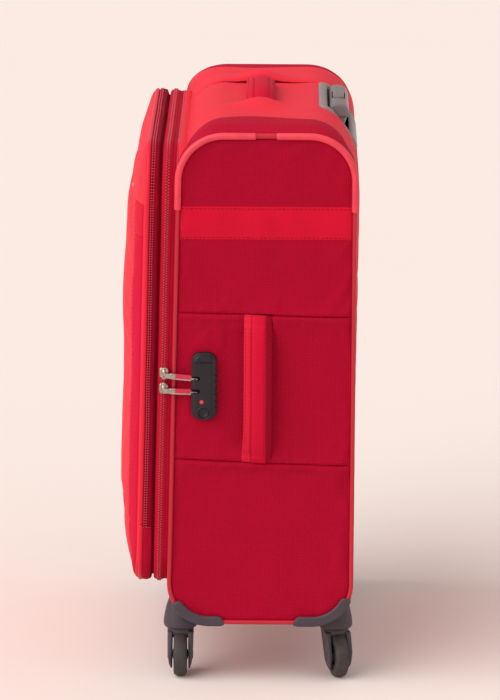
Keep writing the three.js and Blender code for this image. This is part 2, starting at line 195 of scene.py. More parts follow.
def join(name, objs):
    """Several made objects as one mesh."""
    V, F, U, S, off, mats = [], [], [], [], 0, []
    mi = []
    for o in objs:
        me = o.data
        co = np.zeros(len(me.vertices) * 3); me.vertices.foreach_get("co", co)
        V.append(co.reshape(-1, 3))
        for m in me.materials:
            if m not in mats:
                mats.append(m)
        for p in me.polygons:
            F.append([v + off for v in p.vertices]); S.append(p.use_smooth)
            mi.append(mats.index(me.materials[p.material_index]))
        n = len(me.loops)
        uv = np.zeros(n * 2)
        if me.uv_layers:
            me.uv_layers[0].data.foreach_get("uv", uv)
        U.append(uv)
        off += len(me.vertices)
    out = bpy.data.meshes.new(name)
    out.from_pydata(np.vstack(V).tolist(), [], F)
    out.polygons.foreach_set("use_smooth", S)
    for m in mats:
        out.materials.append(m)
    out.polygons.foreach_set("material_index", mi)
    out.uv_layers.new(name="weave").data.foreach_set("uv", np.concatenate(U).astype(np.float32))
    for o in objs:
        me = o.data
        bpy.data.objects.remove(o)
        bpy.data.meshes.remove(me)
    res = bpy.data.objects.new(name, out)
    link(res)
    return res


def mould(name, objs, voxel, smooth):
    """Joined shells made into one moulded skin with soft edges."""
    o = join(name, objs)
    m = o.modifiers.new("remesh", "REMESH")
    m.mode = "VOXEL"; m.voxel_size = voxel * MM; m.use_smooth_shade = True
    s = o.modifiers.new("smooth", "SMOOTH")
    s.factor = 0.5; s.iterations = smooth
    mat = o.data.materials[0]
    bake(o)
    o.data.materials.clear(); o.data.materials.append(mat)
    return o


def tangents(path, closed):
    if closed:
        d = np.roll(path, -1, 0) - np.roll(path, 1, 0)
    else:
        d = np.gradient(path, axis=0)
    return d / np.linalg.norm(d, axis=1)[:, None]


def sweep(name, path, section, mat, side, closed=False, scale=None, cap=True, flip=False):
    """section[(along side, along side x tangent)] carried along path."""
    path = np.asarray(path, float)
    t = tangents(path, closed)
    B = np.broadcast_to(np.asarray(side, float), path.shape).copy()
    B -= (B * t).sum(1)[:, None] * t
    B /= np.linalg.norm(B, axis=1)[:, None]
    Nn = np.cross(B, t)
    sec = np.asarray(section, float)
    k = np.ones(len(path)) if scale is None else np.asarray(scale)
    P = path[:, None] + (B[:, None] * sec[None, :, 0:1] + Nn[:, None] * sec[None, :, 1:2]) * k[:, None, None]
    return grid(name, P, mat, cu=closed, cv=True, cap=cap and not closed, flip=flip)


def circle(r, n=12, ry=None):
    a = np.linspace(0, 2 * math.pi, n, endpoint=False)
    return np.stack([r * np.cos(a), (r if ry is None else ry) * np.sin(a)], 1)


def rounded(cx, cy, w, h, r, n=6):
    pts = []
    for sx, sy, a0 in ((1, 1, 0), (-1, 1, 90), (-1, -1, 180), (1, -1, 270)):
        for a in np.linspace(a0, a0 + 90, n + 1) * RAD:
            pts.append((cx + sx * (w / 2 - r) + r * math.cos(a), cy + sy * (h / 2 - r) + r * math.sin(a)))
    return np.array(pts)


def axes(kind):
    """How (a, b, depth) of a slab or lathe lies in x, y, z."""
    return {"x": lambda a, b, d: np.stack([d, a, b], -1), "y": lambda a, b, d: np.stack([a, d, b], -1),
            "z": lambda a, b, d: np.stack([a, b, d], -1)}[kind]


def slab(name, rect, d0, d1, mat, kind, r0=0.0, r1=1.0, n=6, k=4):
    """A rounded-rectangle block from depth d0 to d1, with rounded edges r0 at d0 and r1 at d1. rect = cx, cy, w, h, r."""
    cx, cy, w, h, r = rect
    sgn = 1 if d1 > d0 else -1
    layers = []
    if r0:
        for a in np.linspace(0, 90, k + 1) * RAD:
            layers.append((r0 * (1 - math.sin(a)), d0 + sgn * r0 * (1 - math.cos(a))))
    else:
        layers.append((0.0, d0))
    if r1:
        for a in np.linspace(90, 0, k + 1) * RAD:
            layers.append((r1 * (1 - math.sin(a)), d1 - sgn * r1 * (1 - math.cos(a))))
    else:
        layers.append((0.0, d1))
    A = axes(kind)
    P = []
    for inset, d in layers:
        q = rounded(cx, cy, w - 2 * inset, h - 2 * inset, max(0.05, r - inset), n)
        P.append(A(q[:, 0], q[:, 1], np.full(len(q), d)))
    o = grid(name, np.array(P), mat, cv=True, cap=True)
    return fix_normals(o)


def fix_normals(o):
    import bmesh
    bm = bmesh.new()
    bm.from_mesh(o.data)
    bmesh.ops.recalc_face_normals(bm, faces=bm.faces)
    bm.to_mesh(o.data)
    bm.free()
    return o


def lathe(name, profile, mat, kind, c, n=32, closed_profile=False):
    """profile[(r, depth)] about an axis through c = (a, b)."""
    A = axes(kind)
    t = np.linspace(0, 2 * math.pi, n, endpoint=False)
    P = np.array([A(c[0] + r * np.cos(t), c[1] + r * np.sin(t), np.full(n, d)) for r, d in profile])
    o = grid(name, P, mat, cv=True, cu=closed_profile, cap=not closed_profile)
    return fix_normals(o)


def plate(name, poly, d0, d1, mat, kind, r=0.0):
    """A flat polygon (a, b) pushed from depth d0 to d1."""
    A = axes(kind)
    poly = np.asarray(poly, float)
    P = np.array([A(poly[:, 0], poly[:, 1], np.full(len(poly), d)) for d in (d0, d1)])
    o = grid(name, P, mat, cv=True, cap=True, smooth=False)
    return fix_normals(o)


def moved(o, name, f):
    """A copy of o with its points (case axes, mm) passed through f."""
    me = o.data.copy()
    co = np.zeros(len(me.vertices) * 3); me.vertices.foreach_get("co", co)
    p = f(co.reshape(-1, 3) / MM - SHIFT)
    me.vertices.foreach_set("co", to_row(p).ravel())
    me.name = name
    out = bpy.data.objects.new(name, me)
    link(out)
    me.update()
    return out


def mirror_x(o, name):
    out = moved(o, name, lambda p: p * np.array([-1, 1, 1]))
    out.data.flip_normals()
    return out


def stitches(name, pts, nrm, mat, length=3.0, gap=1.6, w=0.75, h=0.55):
    """A row of thread dashes along pts, standing on a surface with normals nrm."""
    pts = np.asarray(pts, float); nrm = np.broadcast_to(np.asarray(nrm, float), pts.shape)
    s = np.concatenate([[0], np.cumsum(np.linalg.norm(np.diff(pts, axis=0), axis=1))])
    at = np.arange(gap, s[-1] - length, length + gap)
    V, F = [], []
    for i, a in enumerate(at):
        ends = [np.array([np.interp(x, s, pts[:, k]) for k in range(3)]) for x in (a, a + length * .25, a + length * .75, a + length)]
        nn = np.array([np.interp(a, s, nrm[:, k]) for k in range(3)]); nn /= np.linalg.norm(nn)
        t = ends[3] - ends[0]; t /= np.linalg.norm(t)
        b = np.cross(nn, t)
        base = len(V)
        for e, hh, ww in zip(ends, (-.15, h, h, -.15), (.5, 1, 1, .5)):
            for sx, sz in ((-1, -.35), (-.6, hh), (.6, hh), (1, -.35)):
                V.append(e + b * sx * w / 2 * ww + nn * sz)
        for k in range(3):
            for j in range(4):
                F.append((base + 4 * k + j, base + 4 * k + (j + 1) % 4, base + 4 * k + 4 + (j + 1) % 4, base + 4 * k + 4 + j))
        F.append((base + 3, base + 2, base + 1, base)); F.append((base + 12, base + 13, base + 14, base + 15))
    V = np.array(V)
    uv = np.array([V[v][1:3] for f in F for v in f])
    return fix_normals(make(name, V, F, mat, uv))


def put(o, body, slot=None, *nodes):
    if body:
        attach(o, body)
    if nodes:
        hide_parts(*nodes)
    return o


def surface_of(o):
    """A tree for finding the height of a made surface, in the case's axes."""
    me = o.data
    co = np.zeros(len(me.vertices) * 3); me.vertices.foreach_get("co", co)
    co = co.reshape(-1, 3) / MM - SHIFT
    return BVHTree.FromPolygons(co.tolist(), [tuple(p.vertices) for p in me.polygons])


def drop(tree, origin, direction, default):
    hit = tree.ray_cast(Vector(origin), Vector(direction))
    return np.array(hit[0]) if hit[0] is not None else np.array(default, float)


def waves(a, b, seed, scale, octaves=4):
    """Gentle repeatable undulation over (a, b), about -1 to 1."""
    r = np.random.default_rng(seed)
    out = np.zeros(np.broadcast(a, b).shape)
    for i in range(octaves * 3):
        k = 2 * math.pi / (scale * r.uniform(.5, 1.8))
        th = r.uniform(0, math.pi)
        out += np.sin(k * (a * math.cos(th) + b * math.sin(th)) + r.uniform(0, 6.28))
    return out / math.sqrt(octaves * 3)


# ------------------------------------------------------------------ materials
class Look:
    def __init__(self, name, color, rough=0.6, metal=0.0, **sockets):
        self.m = bpy.data.materials.new(name)
        self.m.use_nodes = True
        self.t = self.m.node_tree
        self.b = self.t.nodes["Principled BSDF"]
        self.color = color
        self.b.inputs["Base Color"].default_value = (*color, 1)
        self.b.inputs["Roughness"].default_value = rough
        self.b.inputs["Metallic"].default_value = metal
        for k, v in sockets.items():
            self.b.inputs[k.replace("_", " ")].default_value = v
        self.m.diffuse_color = (*color, 1)
        self._uv = self._obj = None

    def n(self, kind, **kw):
        node = self.t.nodes.new(kind)
        for k, v in kw.items():
            setattr(node, k, v)
        return node

    def put(self, node, key, v):
        if hasattr(v, "links"):
            self.t.links.new(v, node.inputs[key])
        else:
            node.inputs[key].default_value = v

    def math(self, op, a, b=0.0, c=None):
        node = self.n("ShaderNodeMath", operation=op)
        self.put(node, 0, a); self.put(node, 1, b)
        if c is not None:
            self.put(node, 2, c)
        return node.outputs[0]

    def uv(self):
        """u and v of the weave in millimetres."""
        if self._uv is None:
            s = self.n("ShaderNodeSeparateXYZ")
            self.t.links.new(self.n("ShaderNodeUVMap", uv_map="weave").outputs[0], s.inputs[0])
            self._uv = (s.outputs[0], s.outputs[1])
        return self._uv

    def obj(self):
        """x, y and z in millimetres."""
        if self._obj is None:
            s = self.n("ShaderNodeSeparateXYZ")
            self.t.links.new(self.n("ShaderNodeTexCoord").outputs["Object"], s.inputs[0])
            self._obj = [self.math("MULTIPLY", s.outputs[i], 1000.0) for i in range(3)]
        return self._obj

    def noise(self, scale_mm, detail=3.0, rough=0.55, stretch=None):
        """Noise in object space with features of about scale_mm, 0 to 1."""
        tc = self.n("ShaderNodeTexCoord")
        mp = self.n("ShaderNodeMapping")
        self.t.links.new(tc.outputs["Object"], mp.inputs[0])
        k = 1000.0 / scale_mm
        mp.inputs["Scale"].default_value = tuple(k / s for s in (stretch or (1, 1, 1)))
        no = self.n("ShaderNodeTexNoise")
        no.inputs["Scale"].default_value = 1.0
        no.inputs["Detail"].default_value = detail
        no.inputs["Roughness"].default_value = rough
        self.t.links.new(mp.outputs[0], no.inputs["Vector"])
        return no.outputs["Fac"]

    def wave(self, v, pitch, phase=0.0):
        """sin of v with the given pitch, -1 to 1."""
        return self.math("SINE", self.math("MULTIPLY_ADD", v, 2 * math.pi / pitch, phase))

    def mix(self, fac, a, b):
        node = self.n("ShaderNodeMix", data_type="RGBA")
        self.put(node, 0, fac)
        for i, c in ((6, a), (7, b)):
            if hasattr(c, "links"):
                self.t.links.new(c, node.inputs[i])
            else:
                node.inputs[i].default_value = (*c, 1)
        return node.outputs[2]

    def ramp(self, v, lo, hi, to0=0.0, to1=1.0):
        node = self.n("ShaderNodeMapRange", interpolation_type="SMOOTHSTEP")
        for k, x in zip((0, 1, 2, 3, 4), (v, lo, hi, to0, to1)):
            self.put(node, k, x)
        return node.outputs[0]

    def bump(self, height, distance_mm, strength=1.0):
        node = self.n("ShaderNodeBump")
        node.inputs["Strength"].default_value = strength
        node.inputs["Distance"].default_value = distance_mm * MM
        self.t.links.new(height, node.inputs["Height"])
        if self.b.inputs["Normal"].is_linked:
            self.t.links.new(self.b.inputs["Normal"].links[0].from_socket, node.inputs["Normal"])
        self.t.links.new(node.outputs[0], self.b.inputs["Normal"])

    def base(self, socket):
        self.t.links.new(socket, self.b.inputs["Base Color"])

    def roughness(self, socket):
        self.t.links.new(socket, self.b.inputs["Roughness"])


def shade(c, k):
    return tuple(min(1.0, x * k) for x in c)


def fabric(name, color, kind, pitch, depth=0.12, contrast=0.25, blotch=0.12, rough=0.75, dark=0.6, sheen=0.15, deep=None, spec=0.08):
    k = Look(name, color, rough, Sheen_Weight=sheen * 0.3, Sheen_Roughness=0.45, Specular_IOR_Level=spec)
    k.b.inputs["Sheen Tint"].default_value = (*[min(1, x ** 0.5) for x in color], 1)
    u, v = k.uv()
    if kind == "dobby":       # small raised squares in a grid over fine thread
        du = k.math("MULTIPLY_ADD", k.wave(u, pitch, -math.pi / 2), 0.5, 0.5)
        dv = k.math("MULTIPLY_ADD", k.wave(v, pitch * 0.95, -math.pi / 2), 0.5, 0.5)
        fine = k.math("MULTIPLY", k.wave(u, 0.62), k.wave(v, 0.62))
        h = k.math("MULTIPLY_ADD", k.math("MULTIPLY", du, dv), 2.4, -1.0)
        h = k.math("ADD", h, k.math("MULTIPLY", fine, 0.2))
    elif kind == "plain":
        h = k.math("MULTIPLY", k.wave(u, pitch), k.wave(v, pitch))
    elif kind == "twill":
        h = k.wave(k.math("ADD", u, v), pitch)
    elif kind == "satin":
        h = k.math("ADD", k.math("MULTIPLY", k.wave(v, pitch), 0.7), k.math("MULTIPLY", k.wave(u, pitch * 0.45), 0.3))
    elif kind == "herring":
        zig = k.math("ABSOLUTE", k.math("SUBTRACT", k.math("FRACT", k.math("DIVIDE", v, 3.0)), 0.5))
        h = k.wave(k.math("ADD", u, k.math("MULTIPLY", zig, 3.0)), pitch)
    else:                      # webbing: ribs across the strap
        h = k.math("ADD", k.math("MULTIPLY", k.wave(u, pitch), 0.7),
                   k.math("MULTIPLY", k.math("MULTIPLY", k.wave(v, 1.1), k.wave(u, pitch / 2)), 0.3))
    f = k.ramp(h, -1.0, 1.0)
    n1 = k.noise(38, 4)
    n2 = k.noise(2.2, 2, stretch=(1, 1, 3))
    darker = deep or shade(color, dark)
    fac = k.math("MULTIPLY", k.math("SUBTRACT", 1.0, f), contrast)
    fac = k.math("ADD", fac, k.math("MULTIPLY", k.math("SUBTRACT", n1, 0.5), 2 * blotch))
    fac = k.math("ADD", fac, k.math("MULTIPLY", k.math("SUBTRACT", n2, 0.5), 0.25))
    node = k.n("ShaderNodeClamp"); k.t.links.new(fac, node.inputs[0])
    k.base(k.mix(node.outputs[0], color, darker))
    k.roughness(k.ramp(k.math("ADD", f, n1), 0.2, 1.6, rough + 0.06, rough - 0.07))
    k.bump(n2, 0.06, 0.5)
    k.bump(f, depth, 1.0)
    return k.m


def plastic(name, color, rough=0.45, grain=0.5, depth=0.03, edge=0.12, sheen=0.0, coat=0.0, spec=0.45):
    k = Look(name, color, rough, Specular_IOR_Level=spec, Coat_Weight=coat)
    g = k.noise(grain, 3)
    big = k.noise(26, 4)
    fine = k.noise(0.9, 3, stretch=(4, 1, 1))
    fac = k.ramp(big, 0.35, 0.7)
    tone = k.mix(fac, shade(color, 0.9), shade(color, 1.08))
    # convex edges, found by Pointiness, are painted lighter by up to twice the edge amount: a painted highlight along
    # the edges
    geo = k.n("ShaderNodeNewGeometry")
    edge_highlight = k.ramp(geo.outputs["Pointiness"], 0.52, 0.6, 0.0, edge * 2)
    k.base(k.mix(edge_highlight, tone, shade(color, 1.9)))
    k.roughness(k.ramp(k.math("ADD", big, fine), 0.6, 1.4, rough - 0.08, rough + 0.12))
    k.bump(g, depth, 1.0)
    return k.m


def metal(name, color, rough=0.28, streak=(1, 1, 14)):
    k = Look(name, color, rough, 1.0)
    s = k.noise(0.7, 3, stretch=streak)
    big = k.noise(9, 4)
    k.base(k.mix(k.ramp(big, 0.42, 0.75), color, shade(color, 0.72)))
    k.roughness(k.ramp(k.math("ADD", s, big), 0.7, 1.4, rough - 0.06, rough + 0.16))
    k.bump(s, 0.012, 0.6)
    return k.m


def rubber(name, color):
    k = Look(name, color, 0.62, Specular_IOR_Level=0.4)
    u, v = k.uv()
    dust = k.noise(7, 5, 0.7)
    grit = k.noise(0.8, 4, 0.7)
    fac = k.math("MULTIPLY", k.ramp(dust, 0.42, 0.75), k.ramp(grit, 0.35, 0.7))
    k.base(k.mix(fac, color, shade(color, 2.3)))
    k.roughness(k.ramp(grit, 0.3, 0.7, 0.5, 0.8))
    k.bump(grit, 0.08, 0.7)
    return k.m


DARK = fabric("crimson_dobby", (0.492, 0.0020, 0.029), "dobby", 2.5, 0.2, 0.52, 0.045, 0.72, 0.5, 0.12)
STRIP = fabric("crimson_strip", (0.57, 0.005, 0.036), "dobby", 2.2, 0.2, 0.58, 0.06, 0.72, 0.5, 0.12)
BRIGHT = fabric("red_twill", (0.79, 0.034, 0.060), "plain", 0.8, 0.05, 0.12, 0.10, 0.62, 0.72, 0.2)
FLAP = fabric("red_flap", (0.66, 0.010, 0.036), "plain", 0.8, 0.05, 0.15, 0.12, 0.66, 0.7, 0.1)
SATIN = fabric("red_satin", (0.632, 0.0050, 0.0300), "satin", 1.1, 0.05, 0.16, 0.26, 0.42, 0.72, 0.2)
PIPING = fabric("piping_red", (0.50, 0.012, 0.030), "twill", 0.9, 0.03, 0.12, 0.06, 0.36, 0.75, 0.1, spec=0.4)
CORD = fabric("lid_cord_red", (0.72, 0.014, 0.040), "twill", 0.9, 0.03, 0.12, 0.06, 0.4, 0.75, 0.15, spec=0.2)
WEBBING = fabric("red_webbing", (0.66, 0.012, 0.042), "webbing", 1.5, 0.08, 0.2, 0.08, 0.6, 0.7, 0.15)
WEB_MID = fabric("red_webbing_centre", (0.59, 0.004, 0.033), "plain", 0.9, 0.04, 0.15, 0.08, 0.58, 0.75, 0.15)
TAPE_POCKET = fabric("pocket_tape_red", (0.285, 0.0015, 0.018), "herring", 1.3, 0.12, 0.4, 0.06, 0.7, 0.6, 0.1)
TAPE = fabric("zip_tape_red", (0.54, 0.008, 0.032), "herring", 1.3, 0.12, 0.4, 0.06, 0.7, 0.6, 0.1)
# darker copy of the red webbing for the side handle's rear strip: painted shade on the strip turned away from the light
WEB_REAR_PAINTED_SHADE = fabric("red_webbing_rear_painted_shade", (0.33, 0.001, 0.017), "webbing", 1.5, 0.08, 0.2, 0.08, 0.65, 0.7, 0.1)
# near-black fabric for the seam grooves on the top: partly the darker fabric inside the seam, partly painted shade in
# the groove
CREASE_PAINTED_SHADE = fabric("seam_crease_painted_shade", (0.20, 0.002, 0.010), "plain", 0.8, 0.04, 0.15, 0.08, 0.7, 0.75, 0.05)
FRONT_STRIP = fabric("crimson_front", (0.74, 0.007, 0.046), "dobby", 2.2, 0.2, 0.5, 0.08, 0.72, 0.5, 0.1)
COIL = fabric("zip_coil_red", (0.62, 0.050, 0.085), "twill", 1.0, 0.02, 0.15, 0.05, 0.4, 0.7, 0.0)
VALLEY = fabric("gusset_crimson", (0.40, 0.002, 0.018), "dobby", 2.2, 0.1, 0.7, 0.1, 0.78, 0.6, 0.05)
THREAD = fabric("thread_red", (0.62, 0.012, 0.04), "twill", 0.5, 0.02, 0.3, 0.1, 0.5, 0.6, 0.0)
THREAD_DARK = fabric("thread_crimson", (0.30, 0.002, 0.015), "twill", 0.5, 0.02, 0.3, 0.1, 0.6, 0.6, 0.0)
THREAD_PALE = fabric("thread_pale", (0.60, 0.07, 0.09), "twill", 0.5, 0.02, 0.3, 0.1, 0.6, 0.7, 0.0)
LINING = fabric("lining_grey", (0.26, 0.235, 0.225), "twill", 1.2, 0.05, 0.3, 0.1, 0.7, 0.7, 0.1)
STRAPS = fabric("strap_grey", (0.10, 0.09, 0.09), "webbing", 1.6, 0.1, 0.4, 0.1, 0.7, 0.6, 0.1)
SALMON = plastic("guard_salmon", (0.78, 0.045, 0.075), 0.42, 0.5, 0.02, 0.05)
SLATE = plastic("slate_plastic", (0.055, 0.041, 0.054), 0.5, 0.42, 0.035, 0.16)
LOCK = plastic("lock_plastic", (0.018, 0.0145, 0.021), 0.42, 0.42, 0.03, 0.25, spec=0.3)
DIAL = plastic("dial_plastic", (0.018, 0.016, 0.018), 0.4, 0.42, 0.02, 0.25, spec=0.3)
FORK = plastic("fork_plastic", (0.062, 0.048, 0.061), 0.45, 0.42, 0.03, 0.16)
GREY = plastic("bezel_grey", (0.27, 0.225, 0.225), 0.38, 0.5, 0.02, 0.08)
GRIP = plastic("grip_grey", (0.175, 0.146, 0.150), 0.30, 0.5, 0.02, 0.1)
# near-black plastic for the walls and floor of the trolley's recess inside the grey bezel moulding: painted shade
RECESS_PAINTED_SHADE = plastic("recess_painted_shade", (0.045, 0.040, 0.044), 0.5, 0.5, 0.03, 0.1)
NICKEL = metal("zip_nickel", (0.50, 0.42, 0.36), 0.33)
ALU = metal("tube_aluminium", (0.60, 0.60, 0.61), 0.3)
STEEL = metal("axle_steel", (0.45, 0.44, 0.43), 0.3)
ENAMEL = plastic("enamel_red", (0.62, 0.022, 0.065), 0.28, 0.5, 0.01, 0.0, coat=0.1, spec=0.35)
DOT = plastic("dot_red", (0.75, 0.05, 0.05), 0.35, 0.5, 0.01, 0.0)
TYRE = rubber("tyre_rubber", (0.042, 0.034, 0.034))
# near-black plastic standing in for the dark inside of holes and gaps: painted shade
HOLE_PAINTED_SHADE = plastic("hole_painted_shade", (0.008, 0.007, 0.008), 0.6, 0.5, 0.02, 0.0)

# ------------------------------------------------------------------ camera, light, floor
cam_data = bpy.data.cameras.new("camera")
cam = bpy.data.objects.new("camera", cam_data)
link(cam)
yaw, pitch, roll = 0.0076847, 0.2407931, 0.0050402
f0 = np.array([-math.cos(yaw), -math.sin(yaw), 0.0])
r0 = np.array([-math.sin(yaw), math.cos(yaw), 0.0])
u0 = np.array([0, 0, 1.0])
fwd = math.cos(pitch) * f0 - math.sin(pitch) * u0
up = math.cos(pitch) * u0 + math.sin(pitch) * f0
right = math.cos(roll) * r0 + math.sin(roll) * up
up = -math.sin(roll) * r0 + math.cos(roll) * up
cam.matrix_world = Matrix(((right[0], up[0], -fwd[0], 5.356042), (right[1], up[1], -fwd[1], 0.056132),
                           (right[2], up[2], -fwd[2], 1.672045), (0, 0, 0, 1)))
cam_data.sensor_width = 36
cam_data.lens = 4535.344 / 700 * 36
cam_data.clip_end = 100
scene.camera = cam
scene.view_settings.view_transform = "Standard"
scene.view_settings.look = "None"

world = bpy.data.worlds.new("studio")
world.use_nodes = True
world.node_tree.nodes["Background"].inputs[0].default_value = (1.0, 0.90, 0.86, 1)
world.node_tree.nodes["Background"].inputs[1].default_value = 0.52
scene.world = world


sun = bpy.data.lights.new("key", "SUN")
sun.energy = 2.55
sun.angle = 66 * RAD
sun.color = (1.0, 0.97, 0.94)
key = bpy.data.objects.new("key", sun)
key.rotation_euler = Vector((-0.40, 0.66, -0.66)).to_track_quat("-Z", "Y").to_euler()
key.location = (1.5, -2.4, 2.2)
link(key)
second = bpy.data.lights.new("fill", "SUN")          # a weak wide light from behind and the right lightens the shadow
second.energy = 0.50
second.angle = 110 * RAD
second.color = (1.0, 0.95, 0.92)
fill = bpy.data.objects.new("fill", second)
fill.rotation_euler = Vector((-0.40, -0.75, -0.52)).to_track_quat("-Z", "Y").to_euler()
link(fill)

floor_look = Look("studio_floor", (0.856, 0.788, 0.75), 0.9, Specular_IOR_Level=0.1)
floor_look.base(floor_look.mix(floor_look.noise(900, 3), (0.865, 0.797, 0.76), (0.848, 0.78, 0.742)))
floor_look.bump(floor_look.noise(3, 2), 0.02, 0.3)
fm = bpy.data.meshes.new("floor")
fm.from_pydata([(-20, -20, 0), (20, -20, 0), (20, 20, 0), (-20, 20, 0)], [], [(0, 1, 2, 3)])
fm.materials.append(floor_look.m)
floor = bpy.data.objects.new("floor", fm)
link(floor)

# ------------------------------------------------------------------ outlines of the case
CORNER = {"tb": (84.3, 608.0, 56.0, 0.0, 90.0),
          "tf": (front_y(608) + 56 / CT, 608.0, 56.0, 90.0, 180 - TILT / RAD),
          "bf": (front_y(122) + 50 / CT, 122.0, 50.0, 180 - TILT / RAD, 270.0),
          "bb": (90.3, 122.0, 50.0, 270.0, 360.0)}


def arc_pts(c, a0, a1, step):
    y, z, r = c[:3]
    n = max(5, int(abs(a1 - a0) * RAD * r / step))
    a = np.linspace(a0, a1, n + 1) * RAD
    return np.stack([y + r * np.cos(a), z + r * np.sin(a), np.cos(a), np.sin(a)], 1)


def line_pts(p, q, step):
    n = max(2, int(np.linalg.norm(q[:2] - p[:2]) / step))
    t = np.linspace(0, 1, n + 1)[1:-1, None]
    return np.hstack([p[:2] + (q[:2] - p[:2]) * t, np.repeat(p[None, 2:], len(t), 0)])


def side_loop(step=4.0):
    arcs = [arc_pts(CORNER[k], CORNER[k][3], CORNER[k][4], step) for k in ("tb", "tf", "bf", "bb")]
    out = []
    for i, a in enumerate(arcs):
        out += [a, line_pts(a[-1], arcs[(i + 1) % 4][0], step)]
    return np.vstack(out)


LOOP = side_loop(4.0)
FINE = side_loop(1.5)


def inset_pts(loop, i):
    return loop[:, :2] - loop[:, 2:] * i


def side_span(z, i):
    """Front and back edge of the side outline at height z, inset by i."""
    zt, zb = 608.0, 122.0
    if z > zt:
        r = 56 - i
        h = math.sqrt(max(0, r * r - (z - zt) ** 2))
        return CORNER["tf"][0] - h, CORNER["tb"][0] + h
    if z < zb:
        r = 50 - i
        h = math.sqrt(max(0, r * r - (zb - z) ** 2))
        return CORNER["bf"][0] - h, CORNER["bb"][0] + h
    return front_y(z) + i, 140.3 - i


def spread(lo, hi, step, edge=(0, 1.3, 3.0, 5.2, 8.5)):
    """Positions from lo to hi, closer together near both ends."""
    e = np.array(edge)
    n = max(4, int((hi - lo - 2 * e[-1]) / step))
    return np.concatenate([lo + e[:-1], np.linspace(lo + e[-1], hi - e[-1], n + 1), hi - e[:-1][::-1]])


def inflate(o, pinned, pressure, cap_out, direction, cap_in=1.2, shrink=-0.012, frames=16, mass=0.25, tension=12, bending=0.8):
    """Cloth under gentle pressure between its pinned seams; the result is applied to the mesh."""
    me = o.data
    n = len(me.vertices)
    start = np.zeros(n * 3); me.vertices.foreach_get("co", start); start = start.reshape(-1, 3)
    g = o.vertex_groups.new(name="pin")
    g.add([int(i) for i in np.nonzero(pinned)[0]], 1.0, "REPLACE")
    c = o.modifiers.new("cloth", "CLOTH")
    s = c.settings
    s.quality = 4
    s.mass = mass
    s.tension_stiffness = s.compression_stiffness = tension
    s.shear_stiffness = 6
    s.bending_stiffness = bending
    s.use_pressure = True
    s.uniform_pressure_force = pressure
    s.vertex_group_mass = "pin"
    s.shrink_min = shrink
    s.effector_weights.gravity = 0
    c.point_cache.frame_start, c.point_cache.frame_end = 1, frames
    scene.frame_start, scene.frame_end = 1, frames
    for f in range(1, frames + 1):
        scene.frame_set(f)
    dg = bpy.context.evaluated_depsgraph_get()
    ev = o.evaluated_get(dg)
    end = np.zeros(n * 3); ev.data.vertices.foreach_get("co", end); end = end.reshape(-1, 3)
    o.modifiers.clear()
    o.vertex_groups.clear()
    scene.frame_set(1)
    d = end - start
    if not np.isfinite(d).all():
        return o
    nrm = np.asarray(direction, float)
    nrm = np.broadcast_to(nrm, d.shape)
    out = (d * nrm).sum(1)
    side = d - out[:, None] * nrm
    out = cap_out * MM * np.tanh(out / (cap_out * MM))
    ls = np.linalg.norm(side, axis=1)[:, None]
    side = side * np.minimum(1, cap_in * MM / np.maximum(ls, 1e-9))
    me.vertices.foreach_set("co", (start + side + out[:, None] * nrm).ravel())
    me.update()
    print("inflate", o.name, "out mm", round(float(np.abs(out).max() / MM), 2), round(float(out.mean() / MM), 2), "side", round(float(ls.max() / MM), 2))
    return o


# ------------------------------------------------------------------ side skins
SEAMS = ((449.6, [-64, 10.6, 42, 86.5, 132], [451.2, 450.6, 449.0, 447.5, 446.6]),
         (270.8, [-70, -24, 10, 43, 88, 123], [274.7, 272.6, 271.6, 270.0, 268.5, 267.6]))


def seam_z(i, y):
    return np.interp(y, SEAMS[i][1], SEAMS[i][2])


EDGE = 3.2
zs = np.concatenate([122 - (50 - EDGE) * np.sin(np.linspace(90, 0, 15) * RAD),
                     np.linspace(122, 608, 104)[1:-1],
                     608 + (56 - EDGE) * np.sin(np.linspace(0, 90, 17) * RAD)])
near_seam = np.array([-10.5, -8, -6, -4.4, -3, -2, -1.2, -0.5, 0, 0.5, 1.2, 2, 3.2, 5, 8])
for zc in (449.6, 270.8):                       # more rows where the panels are sewn together
    zs = np.concatenate([zs[np.abs(zs - zc) > 12], zc + near_seam])
zs = np.sort(zs)
ncol = 58
tpos = np.concatenate([[0, .006, .015, .027, .043], np.linspace(.062, .938, ncol - 10), [.957, .973, .985, .994, 1]])
Y = np.array([[side_span(z, EDGE)[0] + (side_span(z, EDGE)[1] - side_span(z, EDGE)[0]) * t for t in tpos] for z in zs])
Z = np.repeat(zs[:, None], len(tpos), 1)
d1, d2 = seam_z(0, Y) - 449.6, seam_z(1, Y) - 270.8
w1 = np.clip(np.where(Z > 449.6, (590 - Z) / 140, (Z - 270.8) / 178.8), 0, 1)
w2 = np.clip(np.where(Z < 270.8, (Z - 130) / 140, (449.6 - Z) / 178.8), 0, 1)
Z = Z + w1 * d1 + w2 * d2
Y = np.array([[side_span(z, EDGE)[0] + (side_span(z, EDGE)[1] - side_span(z, EDGE)[0]) * t for z, t in zip(rz, tpos)] for rz in Z])
edge_pts = inset_pts(FINE, EDGE)
D = np.array([[np.min(np.hypot(edge_pts[:, 0] - y, edge_pts[:, 1] - z)) for y, z in zip(ry, rz)] for ry, rz in zip(Y, Z)])
rise = 1 - np.exp(-D / 5.5)
X0 = 210.6 + 3.3 * rise
calm = 1 - np.exp(-(D / 18) ** 2)
seam_zone = np.zeros(Z.shape, bool)
